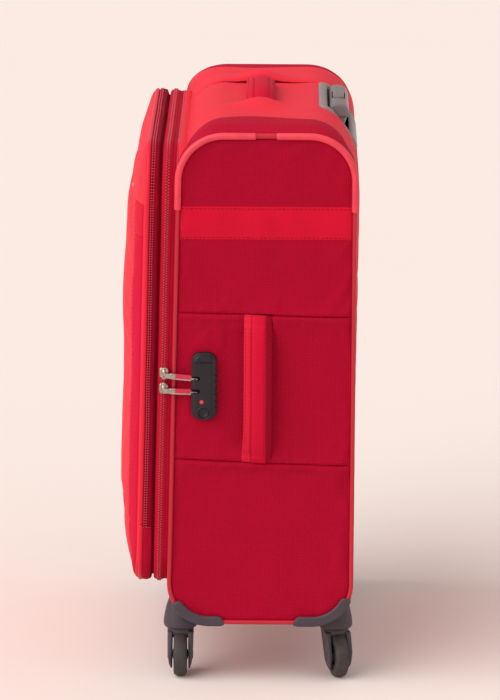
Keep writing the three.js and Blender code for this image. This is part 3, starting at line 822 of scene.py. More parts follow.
for i in (0, 1):
    dz = Z - seam_z(i, Y)
    X0 -= 2.6 * np.exp(-(dz / 1.25) ** 2) * rise
    X0 += (1.5 * np.exp(-((dz + 5.2) / 3.6) ** 2) + 0.5 * np.exp(-((dz - 5.5) / 4) ** 2)) * rise
    X0 += 0.34 * np.exp(-np.abs(dz) / 9) * np.sin(Y * 2 * math.pi / 9.5 + 2 * np.sin(Y / 21 + i)) * rise
    seam_zone |= (dz > -3.6) & (dz < 2.4)
in_box = lambda y0, y1, z0, z1: (Y > y0) & (Y < y1) & (Z > z0) & (Z < z1)
flat_zone = in_box(-52, -22, 324, 407) | in_box(8, 44, 272, 290) | in_box(8, 44, 436, 451)
band_edge = (np.abs(Z - 539) < 2.3) | (np.abs(Z - 578) < 2.3)
pinned = (D < 2.5) | flat_zone | seam_zone
skins = {}
for tag, sx in (("right", 1), ("left", -1)):
    und = waves(Y, Z, 3 if sx > 0 else 11, 120) * 0.80 + waves(Y, Z, 5 if sx > 0 else 12, 48) * 0.34
    near = np.maximum(0, 1 - np.minimum(np.abs(Z - 539), np.abs(Z - 578)) / 9)
    X = X0 + calm * (0.8 + und) * (~flat_zone) - 0.5 * near * calm
    X = np.where(flat_zone, np.minimum(X, 214.0), X)
    P = np.stack([X * sx, Y, Z], -1)
    o = grid("side_skin_" + tag, P, DARK, uv=np.stack([Y, Z], -1), flip=sx < 0)
    inflate(o, pinned.ravel(), 2.2, 2.6, (sx, 0, 0), shrink=-0.01)
    skins[tag] = o
TREES = {k: surface_of(o) for k, o in skins.items()}


def on_side(tag, y, z, lift=0.0):
    sx = 1 if tag == "right" else -1
    p = drop(TREES[tag], (sx * 260, y, z), (-sx, 0, 0), (sx * 213.5, y, z))
    return np.array([p[0] + sx * lift, y, z])


for tag, sx in (("right", 1), ("left", -1)):
    # satin band sewn over the skin, with a row of stitches inside each edge
    zz = np.concatenate([[539, 539.2, 540], np.linspace(542, 575, 14), [577, 577.8, 578]])
    yy = np.linspace(0, 1, 66)
    P = []
    for z in zz:
        a, b = side_span(z, 4.2)
        lift = 0.25 if z in (539, 578) else (0.9 if z in (539.2, 577.8) else 1.0)
        P.append([on_side(tag, a + (b - a) * t, z, lift + (0.30 * math.sin(z * .9 + t * 9) * math.sin(t * 61) + 0.62 * math.sin((z - 541) / 35 * math.pi) * (1 + math.sin(t * 27 + 0.9 * math.sin(t * 11) + z / 14)) if 541 < z < 576 else 0)) for t in yy])
    band = thick(grid("satin_band_" + tag, np.array(P), SATIN, uv=np.stack(np.meshgrid(zz, yy * 200, indexing="ij"), -1), flip=sx > 0), 0.5)
    put(band, "root", "red_fabric")
    rowsz = []
    for z in (541.4, 575.6):
        a, b = side_span(z, 5.5)
        pts = np.array([on_side(tag, y, z, 1.35) for y in np.linspace(a, b, 80)])
        rowsz.append(stitches("s", pts, (sx, 0, 0), THREAD_DARK, 3.4, 1.7, 0.8, 0.35))
    put(join("band_stitches_" + tag, rowsz), "root", "dark_fabric")
    # twin needle stitches beside the two cross seams
    rowsz = []
    for i in (0, 1):
        a, b = side_span(SEAMS[i][0], 6)
        pts = []
        for y in np.linspace(a, b, 120):
            pts.append(on_side(tag, y, float(seam_z(i, y)) - 2.6, 0.12))
        rowsz.append(stitches("s", pts, (sx, 0, 0), THREAD_DARK, 2.8, 1.8, 0.6, 0.25))
    put(join("seam_stitches_" + tag, rowsz), "root", "dark_fabric")
    skin = thick(skins[tag], 1.4, 0)
    put(skin, "root", "dark_fabric", "side_panel_" + tag)

# ------------------------------------------------------------------ piping and its moulded corner guards
for tag, sx in (("right", 1), ("left", -1)):
    p = inset_pts(LOOP, 2.6)
    path = np.stack([np.full(len(p), sx * 213.7), p[:, 0], p[:, 1]], 1)
    o = sweep("piping_cord_" + tag, path, circle(2.65, 12), PIPING, (1, 0, 0), closed=True)
    put(fix_normals(o), "root", "piping", "piping_" + tag)
    for which in ("front", "back"):
        if which == "front":
            a = arc_pts(CORNER["tf"], 90, 180 - TILT / RAD, 3)
            run = np.vstack([line_pts(np.array([22.3, 664, 0, 1]), a[0], 3), a,
                             line_pts(a[-1], np.array([front_y(574.5), 574.5, 0, 0]), 3)])
            run = np.vstack([[22.3, 664, 0, 1], [21.7, 664, 0, 1], run, [front_y(575.1), 575.1, *a[-1, 2:]], [front_y(574.5), 574.5, *a[-1, 2:]]])
        else:
            a = arc_pts(CORNER["tb"], 0, 90, 3)
            run = np.vstack([line_pts(np.array([140.3, 572.3, 1, 0]), a[0], 3), a,
                             line_pts(a[-1], np.array([46.6, 664, 0, 0]), 3)])
            run = np.vstack([[140.3, 572.3, 1, 0], [140.3, 572.9, 1, 0], run, [47.2, 664, 0, 1], [46.6, 664, 0, 1]])
        p = inset_pts(run, 2.3)
        path = np.stack([np.full(len(p), sx * 214.4), p[:, 0], p[:, 1]], 1)
        k = np.ones(len(path)); k[0] = k[-1] = 0.86; k[1] = k[-2] = 0.97
        sec = circle(4.15, 20)
        sec[:, 1] = np.clip(sec[:, 1], -3.9, 3.9)
        o = sweep("tube_guard_%s_%s" % (which, tag), path, sec, SALMON, (1, 0, 0), scale=k)
        put(fix_normals(o), "root", "guard_plastic", "corner_guard_%s_%s" % (which, tag))

# ------------------------------------------------------------------ top skin
XS = np.concatenate([-spread(0, 211, 4.4, edge=(0,))[::-1][:-1], spread(0, 211, 4.4, edge=(0,))])
_c = np.array([77.5, 78.8, 79.7, 80.4, 80.9, 81.3, 81.8, 82.4, 83.2, 84.2, 85.6, 207.5, 209.5])
XS = XS[(np.abs(np.abs(XS) - 81.5) > 4.4)]
XS = np.unique(np.round(np.concatenate([XS, _c, -_c]), 3))
FAR_PHI = [-90, -60, -40, -20, 0, 10, 20, 30, 40, 50, 60, 70, 90]
FAR_H = [0, 3.4, 8.0, 10.2, 11.4, 11.6, 12.2, 12.4, 11.8, 10.0, 6.5, 2.5, 0]


def swell(x, phi, w):
    """The padded edge away from the lock is plumper than the other one."""
    g = np.clip((-x - 92) / 62, 0, 1)
    g = g * g * (3 - 2 * g)
    return w + g * (np.interp(phi, FAR_PHI, FAR_H) * (1 - (np.abs(x) / 211) ** 14) - w)


def top_puff(x, phi):
    return 8.5 * (1 - (np.abs(x) / 211) ** 12) * np.maximum(0, 1 - (phi / 50) ** 2)


def top_extra(x, y, phi):
    ax = np.abs(x)
    fade = np.maximum(0, 1 - (phi / 75) ** 2)
    e = -3.2 * np.exp(-((ax - 81.3) / 1.05) ** 2) * fade
    outer = 1 / (1 + np.exp(-(ax - 82.3) / 0.55))
    e = e + (2.2 * np.exp(-((ax - 97) / 15) ** 2) * outer - 3.4 * (1 - outer) * np.exp(-((y - 30) / 60) ** 4)) * fade
    e = e + 10.0 * np.exp(-((ax - 90) / 13.5) ** 2 - ((y - 26) / 25) ** 2) * outer * fade
    e = e + 1.3 * np.exp(-((ax - 192) / 9) ** 2) * fade
    e = e + 0.25 * np.sin(y * 2 * math.pi / 11) * np.exp(-np.abs(ax - 84) / 7) * fade
    e = e + (0.55 * waves(x, y, 21, 130) + 0.18 * waves(x, y, 22, 45)) * (1 - (ax / 211) ** 4) * fade
    return e


def front_end_angle(x):
    ax = abs(x)
    zc = 260.0 if ax <= 161 else 210 + math.sqrt(max(0, 2500 - (ax - 161) ** 2))
    zc += 7.0 * ((zc - 210) / 50) ** 1.5 - 1.5
    s = (LID_Z + zc - 608) / 56
    return 180 - max(TILT / RAD, math.degrees(math.asin(min(1, max(0, s)))))


TOP = []
TUV = []
for x in XS:
    a0 = front_end_angle(x)
    f = np.linspace(a0, 90, 20)
    stn = [(CORNER["tf"][0] + 56 * math.cos(a * RAD), 608 + 56 * math.sin(a * RAD), math.cos(a * RAD), math.sin(a * RAD), a - 90) for a in f]
    stn += [(y, 664.0, 0.0, 1.0, 0.0) for y in np.linspace(CORNER["tf"][0], 84.3, 26)[1:-1]]
    stn += [(84.3 + 56 * math.cos(a * RAD), 608 + 56 * math.sin(a * RAD), math.cos(a * RAD), math.sin(a * RAD), a - 90) for a in np.linspace(90, 0, 24)]
    s = np.array(stn)
    w = top_puff(x, s[:, 4]) + top_extra(x, s[:, 0], s[:, 4])
    end = np.clip((a0 - 90 - s[:, 4]) / 14, 0, 1)
    w = w + (swell(x, s[:, 4], w) - w) * end
    w = w - 1.2 * np.exp(-(211 - abs(x)) / 2.0)
    TOP.append(np.stack([np.full(len(s), x), s[:, 0] + s[:, 2] * w, s[:, 1] + s[:, 3] * w], 1))
    TUV.append(np.stack([np.full(len(s), x), np.cumsum(np.concatenate([[0], np.linalg.norm(np.diff(s[:, :2], axis=0), axis=1)]))], 1))
TOP = np.array(TOP)
top_full = grid("top_probe", TOP, BRIGHT)
TOP_TREE = surface_of(top_full)
bpy.data.objects.remove(top_full)


def on_arc(x, a=None, y=None, lift=0.0):
    """A point on the top skin at x, found along the ray from the arc's centre (a, back corner) or straight down (y)."""
    if a is not None:
        d = np.array([0, math.cos(a * RAD), math.sin(a * RAD)])
        c = np.array([x, 84.3, 608.0])
        p = drop(TOP_TREE, c + d * 90, -d, c + d * 56)
        return p + d * lift
    p = drop(TOP_TREE, (x, y, 740), (0, 0, -1), (x, y, 664))
    return p + np.array([0, 0, lift])


def strip_of(P, uvs, keep, name, mat):
    """The part of a grid whose faces pass keep(centre)."""
    nu, nv = P.shape[:2]
    V = P.reshape(-1, 3)
    used, faces, loops, remap = {}, [], [], []
    for i in range(nu - 1):
        for j in range(nv - 1):
            q = [(i, j), (i + 1, j), (i + 1, j + 1), (i, j + 1)]
            c = sum(P[a] for a in q) / 4
            if not keep(c):
                continue
            f = []
            for a in q:
                k = a[0] * nv + a[1]
                if k not in used:
                    used[k] = len(used); remap.append(k)
                f.append(used[k]); loops.append(uvs[a])
            faces.append(f)
    return make(name, V[remap], faces, mat, np.array(loops))


def recess(c):
    ang = math.degrees(math.atan2(c[2] - 608, c[1] - 84.3))
    return abs(c[0]) < 72.5 and c[1] > 100 and 27 < ang < 74


top = strip_of(TOP, np.array(TUV), lambda c: not recess(c), "top_skin", BRIGHT)
top.data.materials.append(CREASE_PAINTED_SHADE)
# faces in the grooves at |x| = 81.3 take the near-black fabric: painted shade along the seams, over the darker fabric
# inside them
for f in top.data.polygons:
    cx_ = f.center.x / MM - DX
    if abs(abs(cx_) - 81.3) < 0.85 and f.center.z > 0.6:
        f.material_index = 1
top = thick(top, 1.6, 0)
put(top, "root", "red_fabric", "top_panel")

# dark dobby strips beside the piping, narrowing where they run over the corners
STRIP_Y = [-72, -60, -47, -35, -22, 3, 15, 44, 74, 101, 123, 134, 141]
STRIP_X = [207, 196, 178, 165, 160, 153, 151, 155, 161, 165, 172, 186, 206]
for tag, sx in (("right", 1), ("left", -1)):
    P, U = [], []
    for xf in np.linspace(0, 1, 15):
        row = []
        for j in range(TOP.shape[1]):
            # station j, x running from the strip's inner edge to the piping
            ymid = TOP[len(XS) // 2 + 36][j][1]
            xin = np.interp(ymid, STRIP_Y, STRIP_X)
            x = xin + (210.3 - xin) * xf
            k = np.searchsorted(XS, x * sx)
            t = (x * sx - XS[k - 1]) / (XS[k] - XS[k - 1])
            p = TOP[k - 1][j] * (1 - t) + TOP[k][j] * t
            y, z = p[1], p[2]
            cy = CORNER["tf"][0] if y < CORNER["tf"][0] else (84.3 if y > 84.3 else y)
            nn = np.array([y - cy, z - 608]); nn /= np.linalg.norm(nn)
            lift = 0.95 if 0 < xf else 0.5
            row.append((x * sx, y + nn[0] * lift, z + nn[1] * lift))
        P.append(row)
    P = np.array(P)
    s = np.concatenate([[0], np.cumsum(np.linalg.norm(np.diff(P[7], axis=0), axis=1))])
    uv = np.stack([P[:, :, 0], np.repeat(s[None], len(P), 0)], -1)
    o = grid("top_strip_" + tag, P[:, 1:-1], STRIP, uv=uv[:, 1:-1], flip=sx < 0)
    put(thick(o, 0.5), "root", "dark_fabric")

# ------------------------------------------------------------------ back and bottom skins
bz = np.concatenate([[608, 606.5, 604, 600], np.linspace(594, 136, 84), [130, 126, 123.5, 122]])
bx = np.concatenate([spread(-211, 211, 5.2)])
BX, BZ = np.meshgrid(bx, bz, indexing="ij")
edge = np.minimum(211 - np.abs(BX), np.minimum(608 - BZ, BZ - 122) + 6)
BY = 138.6 + (0.6 + 2.6 * np.clip((BZ - 380) / 150, 0, 1)) * (1 - np.exp(-edge / 8)) + (0.5 * waves(BX, BZ, 31, 160) + 0.2 * waves(BX, BZ, 32, 50)) * (1 - np.exp(-(edge / 25) ** 2))
for xs_ in (-150, 150):
    BY -= 1.1 * np.exp(-((BX - xs_) / 1.8) ** 2)
o = grid("back_skin", np.stack([BX, BY, BZ], -1), BRIGHT, uv=np.stack([BX, BZ], -1))
inflate(o, ((edge < 3) | (np.abs(np.abs(BX) - 150) < 3)).ravel(), 1.2, 0.9, (0, 1, 0), shrink=-0.006)
BACK_TREE = surface_of(o)
put(thick(o, 1.6, 0), "root", "red_fabric", "back_panel")
rowsz = []
for xs_ in (-150, 150):
    for dx in (-3.2, 3.2):
        pts = [drop(BACK_TREE, (xs_ + dx, 200, z), (0, -1, 0), (xs_ + dx, 140.3, z)) + np.array([0, 0.9, 0]) for z in np.linspace(604, 126, 110)]
        rowsz.append(stitches("s", pts, (0, 1, 0), THREAD_DARK, 3.2, 1.8, 0.7, 0.3))
put(join("back_stitches", rowsz), "root", "red_fabric")

bot = np.vstack([arc_pts(CORNER["bf"], 180 - TILT / RAD, 270, 4), line_pts(np.array([CORNER["bf"][0], 72, 0, -1]), np.array([90.3, 72, 0, -1]), 5),
                 arc_pts(CORNER["bb"], 270, 360, 4)])
bx = spread(-211, 211, 7)
P = []
for x in bx:
    puff = 1.0 * (1 - (abs(x) / 211) ** 8) + 0.4 * waves(np.full(len(bot), x), bot[:, 0], 41, 120) * (1 - (abs(x) / 211) ** 6) - 0.9
    P.append(np.stack([np.full(len(bot), x), bot[:, 0] + bot[:, 2] * puff, bot[:, 1] + bot[:, 3] * puff], 1))
o = grid("bottom_skin", np.array(P), DARK)
put(thick(o, 1.8, 0), "root", "red_fabric", "bottom_panel")

# ------------------------------------------------------------------ the lid's outline in the slanted front plane
def lid_table():
    pts = []
    def arc(cx, cz, a0, a1):
        for a in np.linspace(a0, a1, 25) * RAD:
            pts.append((cx + LID_R * math.cos(a), cz + LID_R * math.sin(a), math.cos(a), math.sin(a)))
    ax, az = LID_A - LID_R, LID_B - LID_R
    pts.append((-LID_A, 0, -1, 0))
    arc(-ax, -az, 180, 270); arc(ax, -az, 270, 360); arc(ax, az, 0, 90); arc(-ax, az, 90, 180)
    pts.append((-LID_A, 0, -1, 0))
    p = np.array(pts)
    s = np.concatenate([[0], np.cumsum(np.linalg.norm(np.diff(p[:, :2], axis=0), axis=1))])
    return s, p


def lift_top(z):
    """The lid's upper edge lies a little higher than its plain round corners would put it."""
    return np.asarray(z, float) + 7.0 * (np.maximum(0, np.asarray(z, float) - 210) / 50) ** 1.5


LS, LP = lid_table()
PERIM = LS[-1]
FOLD_ZL = (191.0 - LID_Z) / CT
S_LEFT_LOW = -FOLD_ZL                                   # left side at the fold
S_RIGHT_LOW = float(np.interp(1, [0, 1], [0, 0])) + 210 + 78.54 + 322 + 78.54 + (210 + FOLD_ZL)


def lid_at(s):
    s = np.mod(np.asarray(s, float), PERIM)
    r = np.stack([np.interp(s, LS, LP[:, k]) for k in range(4)], -1)
    r[..., 2:] /= np.linalg.norm(r[..., 2:], axis=-1)[..., None]
    r[..., 1] = lift_top(r[..., 1])
    return r


def ring(name, prof, mat, s0=0.0, s1=None, step=5.0, wobble=0.0, seed=1, flip=False):
    """A strip round the lid: prof[(y', height over the lid's outline)] carried from s0 to s1 (or all the way round)."""
    closed = s1 is None
    n = int((PERIM if closed else s1 - s0) / step)
    s = np.linspace(s0, s0 + PERIM if closed else s1, n + 1)
    if closed:
        s = s[:-1]
    q = lid_at(s)
    pr = np.array(prof, float)
    P = np.zeros((len(s), len(pr), 3))
    wv = waves(s[:, None], pr[None, :, 0] * 1.0, seed, 90) if wobble else 0
    wy = waves(s[:, None], 0 * pr[None, :, 0], seed + 50, 140) if wobble else 0
    h = pr[None, :, 1] + wobble * wv
    P[..., 0] = q[:, None, 0] + q[:, None, 2] * h
    P[..., 2] = q[:, None, 1] + q[:, None, 3] * h
    P[..., 1] = pr[None, :, 0] + 0.5 * wobble * wy
    return grid(name, slant(P), mat, cu=closed, flip=flip)


def teeth(name, y0, h, s0, s1, mat, pitch=3.0, w=2.7, long=1.9, tall=1.15, phase=0.0, wobble=0.0, seed=1):
    """A row of coil teeth across y' = y0."""
    s = np.arange(s0 + phase, s1, pitch)
    q = lid_at(s)
    V = np.zeros((len(s), 8, 3))
    tz = np.stack([-q[:, 3], q[:, 2]], 1)
    h = h + wobble * waves(s, np.full(len(s), y0), seed, 90)
    y0 = y0 + 0.5 * wobble * waves(s, np.zeros(len(s)), seed + 50, 140)
    k = 0
    for dy in (-w / 2, w / 2):
        for ds, dh in ((-long / 2, -.3), (-long / 3, tall), (long / 3, tall), (long / 2, -.3)):
            hh = h + dh
            V[:, k, 0] = q[:, 0] + q[:, 2] * hh + tz[:, 0] * ds
            V[:, k, 2] = q[:, 1] + q[:, 3] * hh + tz[:, 1] * ds
            V[:, k, 1] = y0 + dy * (0.72 if dh > 0 else 1)
            k += 1
    f = np.array([(0, 1, 2, 3), (7, 6, 5, 4), (0, 4, 5, 1), (1, 5, 6, 2), (2, 6, 7, 3), (3, 7, 4, 0)])
    F = (f[None] + 8 * np.arange(len(s))[:, None, None]).reshape(-1, 4)
    W_ = slant(V.reshape(-1, 3))
    return make(name, W_, F.tolist(), mat, W_[F.ravel()][:, 1:3])


ZIP0, ZIP1 = 205.0, PERIM - 205.0
POC0, POC1 = S_RIGHT_LOW, PERIM + S_LEFT_LOW

# body side of the opening
gus = ring("front_gusset", [(4.5, -3.0), (2.6, -1.0), (1.0, 0.6), (-0.6, 1.2), (-3.5, 1.0), (-6.0, 0.3), (-7.5, -1.2), (-7.5, -3.4), (2.0, -4.4)], DARK, wobble=0.25, seed=61)
put(thick(gus, 0.9), "root", "dark_fabric", "front_frame")
plate_out = []
q = lid_at(np.linspace(0, PERIM, 361)[:-1])
outer = []
for x, z, nx, nz in q:                      # flat front between the lid's round corners and the case's edge
    k = min(211 / max(abs(x), 1e-6), (231 if z > 0 else 252.2) / max(abs(z), 1e-6))
    outer.append((max(-211, min(211, x * k)), max(-252.2, min(231, z * k))))
outer = np.array(outer)
inner = np.stack([q[:, 0] - 4.6 * q[:, 2], q[:, 1] - 4.6 * q[:, 3]], 1)
inner[:, 1] = np.clip(inner[:, 1], -252.0, 230.8)
P = np.zeros((3, len(q), 3))
for i, t in enumerate((0, .5, 1)):
    m = inner * (1 - t) + outer * t
    P[i, :, 0] = m[:, 0]; P[i, :, 2] = m[:, 1]; P[i, :, 1] = 1.6 - (0.9 if i == 1 else 0)
o = grid("front_corner_gussets", slant(P), BRIGHT, cv=True)
narrow = (np.hypot(*(outer - inner).T) < 1.5) | (inner[:, 1] > 230.7) | (inner[:, 1] < -251.9)      # no cloth above and below the mouth
import bmesh
bm = bmesh.new(); bm.from_mesh(o.data)
bmesh.ops.delete(bm, geom=[f for f in bm.faces if any(narrow[v.index % len(q)] for v in f.verts)], context="FACES")
bmesh.ops.delete(bm, geom=[v for v in bm.verts if not v.link_faces], context="VERTS")
bm.to_mesh(o.data); bm.free()
put(thick(o, 1.2), "root", "red_fabric")
collar = ring("front_collar", [(14.0, -2.2), (11.0, -0.6), (8.0, 0.7), (5.0, 1.5), (2.0, 1.8), (0.8, 1.0)], BRIGHT, 1104.0, 1593.0, wobble=0.2, seed=66)
put(thick(collar, 0.8), "root", "red_fabric")
edge_seam = ring("gusset_edge_binding", [(1.9, 0.9), (1.6, 1.9), (0.7, 2.2), (-0.2, 1.5)], PIPING)
put(thick(edge_seam, 0.5), "root", "piping")

o = ring("zip_tape_case", [(-4.6, 1.0), (-5.2, 1.7), (-7.5, 2.3), (-9.95, 2.5)], TAPE, ZIP0, ZIP1, wobble=0.22, seed=62)
put(thick(o, 0.6), "root", "dark_fabric")
put(fix_normals(join("zip_coil_case", [teeth("t", -8.75, 2.85, ZIP0, ZIP1, COIL, wobble=0.22, seed=62)])), "root", "dark_fabric")
# lid side
o = ring("zip_tape_lid", [(-10.05, 2.5), (-12.5, 2.4), (-14.8, 1.7), (-15.9, 0.4), (-16.3, -1.6)], TAPE, ZIP0, ZIP1, wobble=0.22, seed=62)
put(thick(o, 0.6), "lid", "dark_fabric")
put(fix_normals(join("zip_coil_lid", [teeth("t", -11.25, 2.85, ZIP0, ZIP1, COIL, phase=1.5, wobble=0.22, seed=62)])), "lid", "dark_fabric")
o = ring("lid_gusset", [(-10.6, -3.8), (-12.0, -1.0), (-16.2, -3.2), (-17.6, -4.2), (-19.0, -3.0), (-19.9, -0.2), (-21.2, 1.4), (-23.5, 2.2), (-26.4, 2.2), (-26.6, -1.2), (-26.4, -4.6)], VALLEY, wobble=0.25, seed=63)
put(thick(o, 0.8), "lid", "red_fabric", "lid_frame")
o = ring("pocket_zip_tape_lid", [(-20.4, 1.6), (-21.2, 2.3), (-23.5, 2.9), (-26.95, 2.9)], TAPE_POCKET, POC0, POC1, wobble=0.5, seed=64)
put(thick(o, 0.6), "lid", "dark_fabric")
put(fix_normals(join("pocket_coil_lid", [teeth("t", -25.8, 3.2, POC0, POC1, COIL, w=1.8, wobble=0.5, seed=64)])), "lid", "dark_fabric")
o = ring("pocket_zip_tape", [(-27.05, 2.9), (-28.6, 2.8), (-29.8, 1.9), (-30.2, -1.5)], TAPE_POCKET, POC0 + 1.5, POC1 - 1.5, wobble=0.5, seed=64)
put(thick(o, 0.6), "front_pocket", "dark_fabric")
put(fix_normals(join("pocket_coil", [teeth("t", -28.2, 3.2, POC0 + 1.5, POC1 - 1.5, COIL, w=1.8, phase=1.5, wobble=0.5, seed=64)])), "front_pocket", "dark_fabric")

# plain fabric wall below the pocket's zip, with soft vertical creases
s = np.linspace(POC1 - PERIM - 1.0, POC0 + 1.0, 140)
q = lid_at(s)
prof = np.array([(-19.6, 0.4), (-21, 1.8), (-23.5, 2.7), (-26.5, 2.9), (-29, 2.4), (-31.5, 1.2)])
cre = np.array([0, .3, 1, 1, .6, 0]) * 1.0
h = prof[None, :, 1] + cre[None] * (0.55 * np.sin(s[:, None] / 7.5 + 1.8 * np.sin(s[:, None] / 37)) - 0.2)
P = np.zeros((len(s), len(prof), 3))
P[..., 0] = q[:, None, 0] + q[:, None, 2] * h; P[..., 2] = q[:, None, 1] + q[:, None, 3] * h
P[..., 1] = prof[None, :, 0] + 0.5 * np.sin(s[:, None] / 15)
put(thick(grid("lid_lower_wall", slant(P), DARK), 0.8), "lid", "red_fabric")
ends = []
for s_end in (POC0 + 2.2, POC1 - PERIM - 2.2 + 4.4):
    s_c = POC0 - 0.5 if s_end == POC0 + 2.2 else POC1 - PERIM + 0.5
    q = lid_at(s_c)
    pts = [slant(np.array([q[0] + q[2] * (3.9 if -30 < y < -21 else 3.2), y, q[1]])) for y in np.linspace(-30.5, -20, 20)]
    ends.append(stitches("s", pts, (q[2], 0, 0), THREAD_PALE, 1.7, 0.9, 0.8, 0.5))
put(join("zip_end_stitches", ends), "lid", "red_fabric")

# lid edge piping, whole round, split at the fold
def edge_cord(name, s0, s1, body, mat=CORD):
    s = np.arange(s0, s1, 4.0)
    q = lid_at(s)
    path = slant(np.stack([q[:, 0] + q[:, 2] * 0.9, np.full(len(s), -32.6), q[:, 1] + q[:, 3] * 0.9], 1))
    k = np.ones(len(path)); k[0] = k[-1] = 0.8
    o = sweep(name, path, circle(2.9, 12), mat, slant(np.array([0, 1.0, 0])) - slant(np.zeros(3)), scale=k)
    return put(fix_normals(o), body, "piping")


edge_cord("pocket_piping", POC0 + 1.6, POC1 - 1.6, "front_pocket")
edge_cord("lid_piping_lower", POC1 - PERIM - 1.0, POC0 + 3.0, "lid")

# ------------------------------------------------------------------ front panel: one pillow with a sewn crease at the pocket's fold
EA, EB, ER = 212.0, 261.0, 51.0


# how much fuller (or flatter) the panel is at each height
FULL_Z = [-261, -230, -190, -150, -110, -60, -20, 20, 60, 100, 130, 160, 190, 215, 240, 261]
FULL_D = [-4, -4, -4.5, -5, -6.5, -8.0, -8.5, -7.5, -5.5, -5, -5.5, -4, -0.5, 2.5, 3, 2]


def pocket_y(x, z, extra=True):
    qx, qz = np.abs(x) - (EA - ER), np.abs(z) - (EB - ER)
    d = ER - (np.hypot(np.maximum(qx, 0), np.maximum(qz, 0)) + np.minimum(np.maximum(qx, qz), 0))
    d = np.maximum(d, 0)
    m = np.minimum(d, 6) / 6
    e = -33.4 - 4.0 * np.sqrt(np.maximum(0, 1 - (1 - m) ** 2))
    fx = np.maximum(0, 1 - (np.abs(x) / EA) ** 5)
    fz = np.maximum(0, 1 - (np.abs(z) / EB) ** np.where(z > 0, 3.5, 5.0))
    y = e - (26.5 + np.interp(z, FULL_Z, FULL_D)) * fx * fz
    if extra:
        soft = 1 - np.exp(-(d / 26) ** 2)
        y -= (0.5 * waves(x, z, 71, 170) + 0.16 * waves(x, z, 72, 55)) * soft
    return y, d


rz = np.unique(np.concatenate([-(EB - ER) - ER * np.sin(np.linspace(90, 0, 17) * RAD), [-(EB - .6), -(EB - 1.6), -(EB - 3.2), -(EB - 5.5)],
                               np.linspace(-(EB - ER), EB - ER, 92)[1:-1], [FOLD_ZL - 2.5, FOLD_ZL, FOLD_ZL + 2.5],
                               (EB - ER) + ER * np.sin(np.linspace(0, 90, 17) * RAD), [EB - .6, EB - 1.6, EB - 3.2, EB - 5.5]]))
tp = np.concatenate([[0, .0012, .0038, .008, .014, .023], np.linspace(.034, .966, 84), [.977, .986, .992, .9962, .9988, 1]])
PX, PZ = [], []
for z in rz:
    dz = max(0, abs(z) - (EB - ER))
    hx = EA - ER + math.sqrt(max(0, ER * ER - dz * dz))
    PX.append(-hx + 2 * hx * tp); PZ.append(np.full(len(tp), z))
PX, PZ = np.array(PX), np.array(PZ)
PY, PD = pocket_y(PX, PZ)
PZ0, PZ = PZ, lift_top(PZ)
# sewn lines: a pair that curves in below the top of the panel, and the seam at the fold
fold = PZ - FOLD_ZL
PY += 1.5 * np.exp(-(fold / 1.8) ** 2) * (1 - np.exp(-(PD / 8) ** 2))
PY -= 0.25 * np.exp(-np.abs(fold) / 10) * np.sin(PX * 2 * math.pi / 11) * (1 - np.exp(-(PD / 8) ** 2))
side_seam = np.abs(np.abs(PX) - 181.5)
PY += 1.0 * np.exp(-(side_seam / 1.8) ** 2) * (PZ < 196)
arc_seam = PZ - (214 - (np.abs(PX) / 165) ** 3 * 14)
PY += 1.2 * np.exp(-(arc_seam / 1.8) ** 2) * (np.abs(PX) < 183)
P = slant(np.stack([PX, PY, PZ], -1))
pillow = grid("front_pillow", P, BRIGHT, uv=np.stack([PX, PZ], -1), flip=True)
out_dir = (slant(np.array([0, -1.0, 0])) - slant(np.zeros(3)))
inflate(pillow, ((PD < 7) | (np.abs(fold) < 4) | ((side_seam < 2.6) & (PZ < 196)) | ((np.abs(arc_seam) < 3) & (np.abs(PX) < 184))).ravel(),
        2.0, 3.5, out_dir, shrink=-0.008)
PILLOW_TREE = surface_of(pillow)


def on_pillow(x, z, lift=0.0):
    o = slant(np.array([x, -120.0, z])); d = slant(np.array([0, 1.0, 0])) - slant(np.zeros(3))
    p = drop(PILLOW_TREE, o, d, slant(np.array([x, -40.0, z])))
    return p - d * lift


thick(pillow, 1.4, 0)
put(pillow, None, "red_fabric", "pocket_panel")
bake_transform(pillow)

# dark dobby strips down both sides of the front, with a smooth flap sewn over their upper ends
for tag, sx in (("right", 1), ("left", -1)):
    for name, mat, z0_, z1_, n_, lift_ in (("front_strip_", FRONT_STRIP, -250, 165, 96, 0.95), ("front_flap_", FLAP, 163.5, 203, 14, 1.25)):
        P = []
        for t in np.linspace(0, 1, 12) ** 0.8:
            row = []
            for z in np.linspace(z0_, z1_, n_):
                over = max(0, abs(z) - (EB - ER))
                xo = EA - ER + math.sqrt(max(0, (ER - 0.9) ** 2 - over ** 2))
                row.append(on_pillow(sx * (183 + (xo - 183) * t), z, lift_))
            P.append(row)
        P = np.array(P)
        o = thick(grid(name + tag, P, mat, flip=sx > 0), 0.5)
        if z0_ < 0:
            put(o, None, "dark_fabric")
            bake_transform(o)
        else:
            put(o, "front_pocket", "red_fabric")

rowsz = []
for sgn in (-1, 1):
    pts = [on_pillow(sgn * 178.5, z, 0.8) for z in np.linspace(-170, 190, 140)]
    rowsz.append(stitches("s", pts, out_dir, THREAD, 3.4, 1.8, 0.7, 0.3))
pts = [on_pillow(x, 208.5 - (abs(x) / 165) ** 3 * 14, 0.8) for x in np.linspace(-176, 176, 130)]
rowsz.append(stitches("s", pts, out_dir, THREAD, 3.4, 1.8, 0.7, 0.3))
put(join("pocket_stitches", rowsz), "front_pocket", "red_fabric")
pts = [on_pillow(x, FOLD_ZL - 9.5 - 4.5, 0.8) for x in np.linspace(-196, 196, 150)]
put(stitches("fold_stitches", pts, out_dir, THREAD, 3.4, 1.8, 0.7, 0.3), "lid", "red_fabric")

